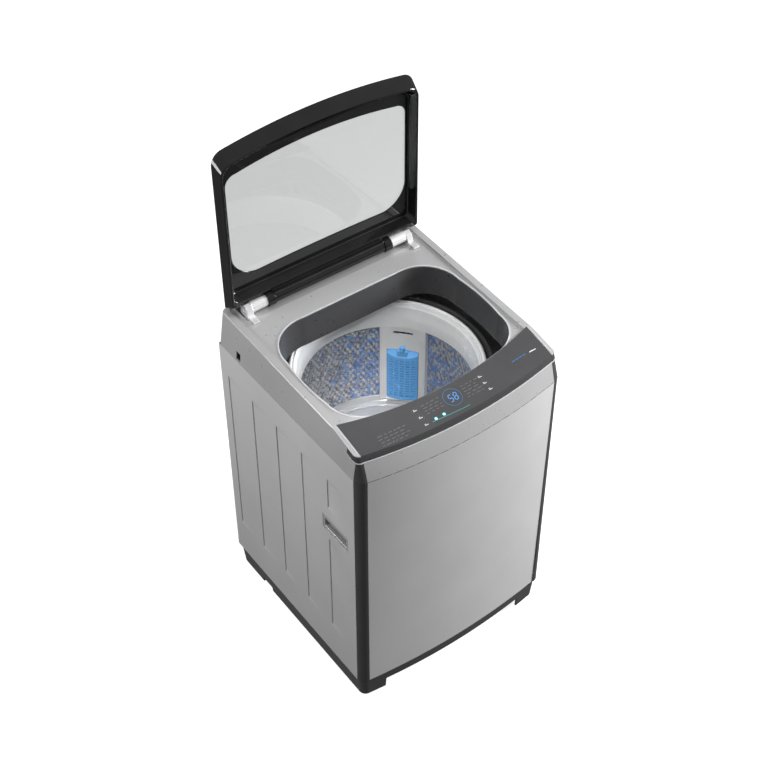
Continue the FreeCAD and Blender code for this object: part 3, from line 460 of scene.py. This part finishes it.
FINISHES = {
    "silver_enamel": painted("silver_enamel", (0.48, 0.48, 0.485), 0.42, 0.05, 0.0),
    "silver_plastic": painted("silver_plastic", (0.47, 0.47, 0.475), 0.30, 0.42, 0.0),
    "galvanised_steel": galvanised("galvanised_steel"),
    "dark_grey_plastic": moulded("dark_grey_plastic", (0.042, 0.042, 0.044), 0.32),
    "console_glass": smoked_console("console_glass"),
    "bright_trim": metal("bright_trim", (0.92, 0.92, 0.93), 0.2, (30, 1, 1), 0.00002, shine=0.6),
    "bright_steel": metal("bright_steel", (0.62, 0.62, 0.63), 0.3),
    "black_gloss_plastic": black_gloss("black_gloss_plastic"),
    "clear_glass": clear_glass("clear_glass"),
    "black_rubber": rubber("black_rubber"),
    "stainless_steel": drum_steel("stainless_steel"),
    "white_plastic": moulded("white_plastic", (0.78, 0.79, 0.79), 0.24, 700.0, 0.00002, 0.2),
    "translucent_grey_plastic": milky("translucent_grey_plastic", (0.84, 0.84, 0.84), 0.22, 0.12),
    "blue_plastic": milky("blue_plastic", (0.15, 0.44, 0.84), 0.24, 0.05),
    "light_grey_plastic": moulded("light_grey_plastic", (0.46, 0.465, 0.47), 0.34),
    "silver_cap": metal("silver_cap", (0.75, 0.75, 0.76), 0.2, (1, 1, 1)),
    "circuit_board": circuit("circuit_board"),
    "cast_aluminium": metal("cast_aluminium", (0.5, 0.5, 0.51), 0.48, (1, 1, 1), 0.00012, 90.0),
    "print_silver": moulded("print_silver", (0.62, 0.63, 0.64), 0.4),
    "print_grey": moulded("print_grey", (0.12, 0.12, 0.123), 0.45),
    # The blue print glows by itself though it is no lamp: a painted glow on the display ring and the blue
    # letters.
    "print_blue": glow("print_blue", (0.05, 0.35, 0.85), 0.45),
    "digit_light": glow("digit_light", (0.10, 0.42, 1.0), 1.1),
    "status_light": glow("status_light", (0.45, 1.0, 1.0), 2.6),
    "halo_light": glow("halo_light", (0.08, 0.75, 0.80), 0.55),
}
MATERIALS = {key: f.material for key, f in FINISHES.items()}
SLOT_OF = {row["node"]: row["material_slot"] for row in frame["record"]["subparts"]}


def dress_nodes():
    """Give every CAD node the material of its slot."""
    for node, obj in frame["nodes"].items():
        for place in obj.material_slots:
            place.material = MATERIALS[SLOT_OF[node]]


# ---- top cover, console and its graphics ----------------------------------------------
def console_point(x, y, lift=0.0):
    """A point on the console's sloping face, lifted off it along its normal."""
    z = CONSOLE_Z + CONSOLE_FALL * (y - CONSOLE_BACK)
    up = Vector((0, -CONSOLE_FALL, 1)).normalized()
    return Vector((x, y, z)) + up * lift


def cover_front(x, z, outset=0.0):
    """The cover's bowed front face at x and z."""
    t = (z - SEAM_Z) / (COVER_TOP - SEAM_Z)
    half = (HALF_W - CORNER_R) * (1 - t) + (COVER_HALF_W - COVER_CORNER_R) * t
    front = FRONT * (1 - t) + COVER_FRONT * t
    bow = BOW_TOP * (1 - t) + COVER_BOW * t
    radius = (half * half + bow * bow) / (2 * bow)
    rise = math.sqrt(max(radius * radius - min(abs(x), half) ** 2, 0.0)) - (radius - bow)
    return front - rise - outset


def cover_outline(z, outset=0.0):
    """The cover's outline at z, from the left side round the front to the right side."""
    t = (z - SEAM_Z) / (COVER_TOP - SEAM_Z)
    radius = CORNER_R * (1 - t) + COVER_CORNER_R * t
    half = HALF_W * (1 - t) + COVER_HALF_W * t
    front = FRONT * (1 - t) + COVER_FRONT * t
    path = []
    for step in range(9):
        angle = math.pi + 0.5 * math.pi * step / 8
        path.append((-half + radius + (radius + outset) * math.cos(angle),
                     front + radius + (radius + outset) * math.sin(angle)))
    flat = half - radius
    for step in range(1, 40):
        x = -flat + 2 * flat * step / 40
        path.append((x, cover_front(x, z, outset)))
    for x, y in reversed(path[:9]):
        path.append((-x, y))
    return [Vector((x, y, z)) for x, y in path]


class Marks:
    """Thin printed shapes gathered into one mesh that lies on the console's face."""

    def __init__(self):
        self.points = []
        self.faces = []

    def shape(self, outline, lift=0.1 * MM, thickness=0.12 * MM):
        """Add one flat shape, its outline in (x, y) on the face, anticlockwise from above."""
        start = len(self.points)
        count = len(outline)
        for height in (lift, lift + thickness):
            self.points += [console_point(x, y, height) for x, y in outline]
        self.faces.append(tuple(start + k for k in reversed(range(count))))
        self.faces.append(tuple(start + count + k for k in range(count)))
        for k in range(count):
            k2 = (k + 1) % count
            self.faces.append((start + k, start + k2, start + count + k2, start + count + k))

    def bar(self, x, y, length, height, slant=0.0):
        """A bar with cut corners, centred on (x, y)."""
        a = length / 2
        b = height / 2
        c = min(a, b) * 0.45
        outline = [(-a + c, -b), (a - c, -b), (a, -b + c), (a, b - c),
                   (a - c, b), (-a + c, b), (-a, b - c), (-a, -b + c)]
        self.shape([(x + u + slant * v, y + v) for u, v in outline])

    def disc(self, x, y, radius, lift=0.1 * MM):
        self.shape([(x + radius * math.cos(math.pi * k / 12), y + radius * math.sin(math.pi * k / 12))
                    for k in range(24)], lift)

    def build(self, name, finish):
        return piece(name, mesh_of(name, self.points, self.faces), "cabinet", "console_glass", finish=finish)


DISPLAY = (-2.4 * MM, -255.8 * MM)
SEGMENTS = {"5": "afgcd", "8": "abcdefg"}
DIGIT_TALL = 13.0 * MM
DIGIT_WIDE = 8.5 * MM
DIGIT_THICK = 1.9 * MM
DIGIT_STEP = 14.0 * MM
DIGIT_SLANT = 0.12
RING_MARKS = 40
RING_INNER = 22.5 * MM
RING_OUTER = 24.0 * MM


def display_digits():
    """Two seven-bar digits inside a ring of fine marks."""
    marks = Marks()
    tall = DIGIT_TALL
    wide = DIGIT_WIDE
    thick = DIGIT_THICK
    slant = DIGIT_SLANT
    for place, digit in enumerate("58"):
        x = DISPLAY[0] + (place - 0.5) * DIGIT_STEP + 1.5 * MM
        y = DISPLAY[1] - 1.0 * MM
        flat = {"a": tall / 2 + wide * 0.32, "g": 0.0, "d": -tall / 2 - wide * 0.32}
        for segment in SEGMENTS[digit]:
            if segment in flat:
                marks.bar(x + slant * flat[segment], y + flat[segment], wide - thick, thick, slant)
            else:
                side = 1 if segment in "bc" else -1
                height = 1 if segment in "bf" else -1
                v = height * (tall + wide * 0.64) / 4
                marks.bar(x + side * wide / 2 + slant * v, y + v, thick, tall * 0.55, slant)
    marks.build("display_digits", "digit_light")
    ring = Marks()
    half = math.pi / 46
    for k in range(RING_MARKS):
        angle = 2 * math.pi * k / RING_MARKS
        rim = [(RING_INNER, angle - half), (RING_OUTER, angle - half),
               (RING_OUTER, angle + half), (RING_INNER, angle + half)]
        ring.shape([(DISPLAY[0] + r * math.cos(t), DISPLAY[1] + r * math.sin(t)) for r, t in rim])
    ring.build("display_ring", "print_blue")


def label_rows(marks, x0, x1, y0, rows, step, rng, slant):
    """Rows of short faint bars that stand for printed words."""
    for row in range(rows):
        x = x0 + rng.uniform(0, 3) * MM
        y = y0 - row * step
        while x < x1:
            length = rng.uniform(5.0, 13.0) * MM
            marks.bar(x + length / 2, y + slant * (x - x0), length, 1.3 * MM)
            x += length + rng.uniform(3.0, 7.0) * MM


RINGED_KEYS = [(88.8, -243.6), (88.6, -263.2), (-101.4, -243.4), (-101.0, -265.3)]
PLAIN_KEYS = [(90.0, -283.0), (-100.6, -287.0)]
KEY_RING_R = 8.6 * MM
KEY_RING_DOTS = 20
STATUS_LIGHTS = [(-71.9, -284.2), (-48.4, -283.6)]
LINE_FROM = -84.0
LINE_LENGTH = 104.0


def console_prints():
    """Key symbols, faint words, coloured bars and the two status lights."""
    rng = random.Random(23)
    keys = Marks()
    for x, y in RINGED_KEYS + PLAIN_KEYS:
        keys.bar(x * MM, y * MM, 9.5 * MM, 1.6 * MM)
        keys.bar((x - 2.2) * MM, (y + 3.1) * MM, 4.0 * MM, 1.4 * MM)
    keys.bar(247.0 * MM, -246.0 * MM, 20.0 * MM, 2.2 * MM, 0.3)
    keys.build("key_symbols", "print_silver")
    words = Marks()
    label_rows(words, -222 * MM, -150 * MM, -258 * MM, 4, 8.5 * MM, rng, -0.06)
    label_rows(words, 30 * MM, 72 * MM, -242 * MM, 5, 8.0 * MM, rng, 0.0)
    label_rows(words, -84 * MM, -34 * MM, -240 * MM, 4, 8.0 * MM, rng, 0.0)
    for x, y in RINGED_KEYS:
        for k in range(KEY_RING_DOTS):
            angle = 2 * math.pi * k / KEY_RING_DOTS
            across = x * MM + KEY_RING_R * math.cos(angle)
            along = (y + 1) * MM + KEY_RING_R * math.sin(angle)
            words.bar(across, along, 0.9 * MM, 0.5 * MM)
    words.build("printed_words", "print_grey")
    blue = Marks()
    for k in range(4):
        blue.bar((187 + 11.2 * k) * MM, (-247.6 + 0.7 * k) * MM, 9.6 * MM, 3.2 * MM, 0.35)
    blue.build("blue_letters_bar", "print_blue")
    lights = Marks()
    halos = Marks()
    for x, y in STATUS_LIGHTS:
        lights.disc(x * MM, y * MM, 2.9 * MM, 0.25 * MM)
        halos.disc(x * MM, y * MM, 4.6 * MM)
    steps = 24
    line = [(LINE_FROM + LINE_LENGTH * k / steps) * MM for k in range(steps + 1)]
    below = [(x, cover_front(x, 0.92) + 12.6 * MM - 0.04 * (x - LINE_FROM * MM)) for x in line]
    above = [(x, y + 1.3 * MM) for x, y in reversed(below)]
    halos.shape(below + above)
    lights.build("status_lights", "status_light")
    halos.build("status_halos", "halo_light")


# ---- cabinet ------------------------------------------------------------------------------
WEDGE_REACH = 62.0 * MM
WEDGE_DEPTH = 2.0 * MM
LINE_WIDTH = 2.0 * MM
LINE_DEPTH = 2.6 * MM
FRONT_FLANGE = 14.0 * MM
REAR_FLANGE = 20.0 * MM
RIB_FADE = 7.0 * MM


def panel_depth(y, z):
    """How far the side panel is pressed in: a wedge in front of each sharp line."""
    depth = 0.0
    for rib in RIB_Y:
        ahead = rib - y
        if 0.0 <= ahead <= WEDGE_REACH:
            ends = min(z - RIB_LOW, RIB_HIGH - z) + 0.12 * ahead
            fade = min(max(ends / (9.0 * MM), 0.0), 1.0)
            if HANDLE_Y[0] < rib < HANDLE_Y[1]:
                clear = max(RIB_BREAK[0] - z, z - RIB_BREAK[1])
                fade = min(fade, min(max(clear / RIB_FADE, 0.0), 1.0))
            wedge = WEDGE_DEPTH * (1 - ahead / WEDGE_REACH)
            line = LINE_DEPTH if ahead <= LINE_WIDTH else 0.0
            depth = max(depth, fade * (wedge + line))
    return depth


def side_panel(side, node):
    """Pressed side sheet, with its lines, wedges, end flanges and the window of the handle."""
    y_lines = [FRONT + CORNER_R + 1 * MM, BACK - 1.5 * MM, HANDLE_Y[0], HANDLE_Y[1]]
    for rib in RIB_Y:
        y_lines += [rib + 0.5 * MM, rib, rib - LINE_WIDTH, rib - LINE_WIDTH - 0.5 * MM, rib - 6 * MM]
        y_lines += [rib - 20 * MM, rib - 40 * MM, rib - WEDGE_REACH]
    z_lines = [SKIRT_Z, SEAM_Z, HANDLE_Z[0], HANDLE_Z[1]]
    z_lines += [RIB_BREAK[0], RIB_BREAK[0] - RIB_FADE, RIB_BREAK[1], RIB_BREAK[1] + RIB_FADE]
    z_lines += [RIB_LOW - 8 * MM + 3 * MM * k for k in range(7)]
    z_lines += [RIB_HIGH + 8 * MM - 3 * MM * k for k in range(7)]
    z_lines += [300 * MM, 400 * MM, 480 * MM, 710 * MM]
    y_lines = sorted(y for y in set(y_lines) if FRONT + CORNER_R + 0.9 * MM < y < BACK)
    z_lines = sorted(set(z_lines))

    stations = [(y_lines[0], FRONT_FLANGE)] + [(y, 0.0) for y in y_lines] + [(y_lines[-1], REAR_FLANGE)]

    def place(i, j):
        y, inset = stations[j]
        z = z_lines[i]
        return (side * (HALF_W - max(inset, panel_depth(y, z))), y, z)

    def keep(i, j):
        y = (stations[j][0] + stations[j + 1][0]) / 2
        z = (z_lines[i] + z_lines[i + 1]) / 2
        return not (HANDLE_Y[0] < y < HANDLE_Y[1] and HANDLE_Z[0] < z < HANDLE_Z[1])

    name = "pressed_" + node
    mesh = grid(name, len(z_lines) - 1, len(stations) - 1, place, keep=keep)
    obj = piece(name, mesh, "cabinet", "silver_enamel", (node,))
    drop_loose(mesh)
    if sum(face.normal.x * face.area for face in mesh.polygons) * side < 0:
        mesh.flip_normals()
    smooth(mesh, 12.0)
    sheet = obj.modifiers.new("sheet", "SOLIDIFY")
    sheet.thickness = 1.4 * MM
    sheet.offset = -1.0
    return obj


def seam_shade_strip():
    """A black strip along the joint between the top cover and the sheet metal below it, put in as painted
    shade for the shadow in that gap.
    """
    outline = cover_outline(SEAM_Z, -0.5 * MM)
    ends = [Vector((side * (HALF_W - 0.5 * MM), BACK - 4 * MM, SEAM_Z)) for side in (-1, 1)]
    path = [ends[0]] + outline + [ends[1]]
    section = [(-0.6 * MM, -0.7 * MM), (0.45 * MM, -0.7 * MM), (0.45 * MM, 0.7 * MM), (-0.6 * MM, 0.7 * MM)]
    piece("seam_shade_strip", swept("seam_shade_strip", path, section), "cabinet", "black_rubber")


def drop_loose(mesh):
    bm = bmesh.new()
    bm.from_mesh(mesh)
    loose = [v for v in bm.verts if not v.link_faces]
    bmesh.ops.delete(bm, geom=loose, context="VERTS")
    bm.to_mesh(mesh)
    bm.free()


# ---- drum, filter and pulsator ----------------------------------------------------------
BUMPS_ROUND = 102
BUMP_HEIGHT = 3.0 * MM
SAMPLES = 6
WALL_ROWS = 68
# Painted shade on the drum wall: a little on the plain bands, random per facet to stand for sparkle, deeper
# in the hollows.
PLAIN_SHADE = 0.2
FACET_SHADE = 0.75
HOLLOW_SHADE = 0.4
# How far round from the filter its painted blue reflection reaches on the drum wall.
PAINTED_REFLECTION_NEAR = 60.0 * MM
PAINTED_REFLECTION_SPREAD = 190.0 * MM


def bump_at(u, v):
    """Height of the staggered six-sided pyramids (0 in the hollows, 1 at the tips) and the facet there."""
    best = (0.0, None)
    for cu, cv in ((round(u), round(v)), (math.floor(u) + 0.5, math.floor(v) + 0.5)):
        across = abs(u - cu)
        along = abs(v - cv) * math.sqrt(3)
        height = 1 - max(across, across / 2 + along * 0.866) / 0.5
        if height >= best[0]:
            sector = math.floor(math.atan2(v - cv, u - cu) / math.radians(60.0))
            best = (height, (cu, cv, sector))
    return best


def drum_wall():
    """The drum's wall, embossed inside with staggered pyramids and plain outside.

    Its colour attribute holds painted shade in red, random per facet and deeper in the hollows, and a painted
    reflection of the filter's blue in blue.
    """
    low = DRUM_FLOOR - 8 * MM
    step = (RING_LOW - low) / WALL_ROWS
    around = BUMPS_ROUND * SAMPLES
    rng = random.Random(5)

    def embossed(i):
        return 6 <= i < WALL_ROWS - 1

    def place(i, j):
        angle = 2 * math.pi * j / around
        if i > WALL_ROWS:
            z = RING_LOW if i == WALL_ROWS + 1 else low
            radius = DRUM_R + 1.5 * MM
        else:
            z = low + i * step
            height = bump_at(j / SAMPLES, i / SAMPLES)[0] if embossed(i) else 0.0
            radius = DRUM_R - BUMP_HEIGHT * height
        return (radius * math.cos(angle), radius * math.sin(angle), z)

    mesh = grid("drum_wall_embossed", WALL_ROWS + 3, around, place, wrap=True, wrap_rows=True)
    painted_light = mesh.color_attributes.new("painted_light", "FLOAT_COLOR", "POINT")
    patches = {}
    for i in range(WALL_ROWS + 3):
        for j in range(around):
            height, key = bump_at(j / SAMPLES, i / SAMPLES)
            turn = (2 * math.pi * j / around - FILTER_AZ + math.pi) % (2 * math.pi) - math.pi
            away = abs(turn) * DRUM_R
            if key not in patches:
                patches[key] = (rng.random(), rng.random())
            # Painted shade for this point: random per facet and deeper in the hollows; the plain bands get a
            # little.
            shade = PLAIN_SHADE
            if embossed(i):
                shade = FACET_SHADE * patches[key][1] ** 1.5 + HOLLOW_SHADE * max(0.0, 1 - 3.0 * height)
            # Painted reflection of the blue filter on random facets near it, fading towards the wall's top
            # and bottom.
            reach = max(0.0, 1 - (away - PAINTED_REFLECTION_NEAR) / PAINTED_REFLECTION_SPREAD)
            level = 1 - abs(i / WALL_ROWS - 0.5) * 0.9
            blue = 0.75 if patches[key][0] < 0.6 * reach * level else 0.0
            painted_light.data[i * around + j].color = (min(shade, 0.9), 0.0, blue, 1.0)
    face_out(mesh, merge=0.0)
    piece("drum_wall_embossed", mesh, "drum", "stainless_steel", ("drum_wall",))


def floor_flange():
    """Bright pressed ring between the drum's wall and the pulsator."""
    top = [(235.4, 500.6), (232, 498.5), (229, 492.5), (226, 487), (221, 483.8), (214, 482.6), (211.6, 481.6)]
    under = [(211.4, 480.6), (221, 482.4), (227, 485), (232, 494), (235.4, 499.2)]
    profile = [(r * MM, z * MM) for r, z in top + under]
    mesh = turned("drum_floor_ring", rounded_profile(profile, 1.2 * MM, 2), 200)
    piece("drum_floor_ring", mesh, "drum", "bright_trim")


def balance_ring():
    """Balance ring with its stepped and beaded upper face."""
    profile = [(216, 763), (239, 763), (245, 769), (245, 829), (242.6, 835.6), (238.5, 838), (236.2, 837.6),
               (234.6, 834.6), (232.4, 834.4), (231.2, 836.2), (229.2, 836.0), (228, 832),
               (226, 826.5), (224.4, 826.0), (223, 812), (219, 793)]
    rounded = rounded_profile([(r * MM, z * MM) for r, z in profile], 1.1 * MM, 3)
    mesh = turned("balance_ring_beaded", rounded, 240)
    piece("balance_ring_beaded", mesh, "drum", "white_plastic", ("balance_ring",))


BLADES = 6
BLADE_RISE = 15.0 * MM
HUB_RISE = 14.0 * MM


def pulsator_top(r, angle):
    """Height of the pulsator's upper face: a low cone with curved blades."""
    base = 490.0 * MM + HUB_RISE * max(0.0, 1 - r / (95.0 * MM)) ** 1.4
    swirl = angle + 0.9 * math.log(max(r, 0.02) / 0.05)
    wave = 0.5 + 0.5 * math.cos(BLADES * swirl)
    blade = wave ** 3 * BLADE_RISE
    rise = min(max((r - 35 * MM) / (40 * MM), 0.0), 1.0) * min(max((198 * MM - r) / (60 * MM), 0.0), 1.0)
    return base + blade * rise


def pulsator():
    rings = 44
    around = 216
    under = [(PULSATOR_R, 482.5 * MM), (40 * MM, 484 * MM), (30 * MM, 478.5 * MM), (14.0 * MM, 478.5 * MM)]

    def place(i, j):
        angle = 2 * math.pi * j / around
        if i <= rings:
            r = 14.0 * MM + (PULSATOR_R - 0.5 * MM - 14.0 * MM) * i / rings
            z = pulsator_top(r, angle) if i < rings else 487.0 * MM
        else:
            r, z = under[i - rings - 1]
        return (r * math.cos(angle), r * math.sin(angle), z)

    mesh = grid("pulsator_wheel", rings + 1 + len(under), around, place, wrap=True, wrap_rows=True)
    face_out(mesh, merge=0.0)
    piece("pulsator_wheel", smooth(mesh, 40.0), "pulsator", "light_grey_plastic", ("pulsator",))


def around_z(points, azimuth):
    turn = Matrix.Rotation(azimuth, 3, "Z")
    return [turn @ Vector(p) for p in points]


def lint_ribs():
    """Half-round ribs between the filter's columns of slots, and on both water channels."""
    for k in range(6):
        y = (k - 2.5) * 14.9 * MM
        x = 204.2 * MM + 7 * MM * (y / (41.3 * MM)) ** 2
        path = around_z([(x, y, z * MM) for z in (517, 560, 610, 658)], FILTER_AZ)
        name = "filter_rib_%d" % (k + 1)
        mesh = swept(name, path, circle_section(1.5 * MM, 12), up=Vector((1, 0, 0)))
        piece(name, mesh, "lint_filter", "blue_plastic")
    for label, azimuth, offsets in (("front", FILTER_AZ, (-57, -51, -46, 46, 51, 57)),
                                    ("rear", FILTER_AZ + math.pi, (-57, -45, -30, -15, 0, 15, 30, 45, 57))):
        for k, offset in enumerate(offsets):
            turn = offset * MM / (219 * MM)
            path = around_z([(218 * MM, 0, z * MM) for z in (503, 560, 640, 725)], azimuth + turn)
            name = "channel_rib_%s_%d" % (label, k + 1)
            mesh = swept(name, path, circle_section(0.8 * MM, 10), up=Vector((1, 0, 0)))
            piece(name, mesh, "drum", "translucent_grey_plastic")


def stage():
    """A pale glowing floor, left out of reflections and indirect light."""
    floor = mesh_of("studio_floor", [(-40, -40, 0), (40, -40, 0), (40, 40, 0), (-40, 40, 0)], [(0, 1, 2, 3)])
    obj = bpy.data.objects.new("studio_floor", floor)
    bpy.context.scene.collection.objects.link(obj)
    f = Finish("floor", (0.35, 0.35, 0.35), 0.9)
    f.set("Specular IOR Level", 0.1)
    f.set("Emission Color", (1, 1, 1, 1))
    f.set("Emission Strength", 0.88)
    floor.materials.append(f.material)
    obj.visible_diffuse = False
    obj.visible_glossy = False
    return obj


def aimed(name, data, location, target):
    """Link a lamp that points at a target."""
    obj = bpy.data.objects.new(name, data)
    obj.location = location
    obj.rotation_euler = (Vector(target) - Vector(location)).to_track_quat("-Z", "Y").to_euler()
    bpy.context.scene.collection.objects.link(obj)
    return obj


def area_light(name, location, target, size, power):
    data = bpy.data.lights.new(name, "AREA")
    data.shape = "SQUARE"
    data.size = size
    data.energy = power
    return aimed(name, data, location, target)


def spot_light(name, location, target, degrees, power):
    data = bpy.data.lights.new(name, "SPOT")
    data.spot_size = math.radians(degrees)
    data.spot_blend = 0.5
    data.shadow_soft_size = 0.12
    data.energy = power
    return aimed(name, data, location, target)


SKY_LOW = 0.17
SKY_HIGH = 0.34


def studio():
    """A key from the right, soft lamps above and on the left, a narrow one into the drum, a graded sky."""
    scene = bpy.context.scene
    scene.view_settings.view_transform = "Standard"
    world = bpy.data.worlds.new("studio")
    scene.world = world
    world.use_nodes = True
    tree = world.node_tree
    coords = tree.nodes.new("ShaderNodeTexCoord")
    split = tree.nodes.new("ShaderNodeSeparateXYZ")
    ramp = tree.nodes.new("ShaderNodeMapRange")
    ramp.inputs["From Min"].default_value = -0.1
    ramp.inputs["From Max"].default_value = 0.5
    ramp.inputs["To Min"].default_value = SKY_LOW
    ramp.inputs["To Max"].default_value = SKY_HIGH
    tree.links.new(coords.outputs["Generated"], split.inputs["Vector"])
    tree.links.new(split.outputs["Z"], ramp.inputs["Value"])
    tree.links.new(ramp.outputs["Result"], tree.nodes["Background"].inputs["Strength"])
    tree.nodes["Background"].inputs["Color"].default_value = (1, 1, 1, 1)
    area_light("key", (2.8, -1.35, 1.8), (0, -0.2, 0.5), 1.2, 240)
    area_light("top", (-0.2, -0.5, 3.6), (0, 0, 0.8), 1.6, 40).visible_glossy = False
    area_light("left", (-1.8, 0.6, 1.6), (-0.3, 0.1, 0.8), 0.9, 26)
    spot_light("drum", (-1.3, -1.9, 3.6), (0.03, 0.10, 0.66), 5.4, 420)


def camera():
    """Raised three-quarter view from the front left."""
    azimuth = math.radians(-36.29)
    elevation = math.radians(44.30)
    back = Vector((math.sin(azimuth) * math.cos(elevation), -math.cos(azimuth) * math.cos(elevation),
                   math.sin(elevation)))
    data = bpy.data.cameras.new("camera")
    data.lens = 72.69
    data.sensor_width = 36.0
    data.clip_end = 100.0
    obj = bpy.data.objects.new("camera", data)
    obj.location = (-1.639, -2.221, 3.458)
    obj.rotation_euler = (-back).to_track_quat("-Z", "Y").to_euler()
    bpy.context.scene.collection.objects.link(obj)
    bpy.context.scene.camera = obj


camera()
studio()
stage()
dress_nodes()
display_digits()
console_prints()
side_panel(-1, "side_panel_left")
side_panel(1, "side_panel_right")
drum_wall()
floor_flange()
balance_ring()
pulsator()
lint_ribs()
seam_shade_strip()
eased("lid_frame_eased", "lid_frame", 2.2 * MM, 3)
eased("base_frame_eased", "base_frame", 1.2 * MM)
eased("handle_cups_eased", "handle_cups", 1.2 * MM)
eased("hinge_brackets_eased", "hinge_brackets", 1.0 * MM)
eased("lid_end_discs_eased", "lid_end_discs", 0.9 * MM)
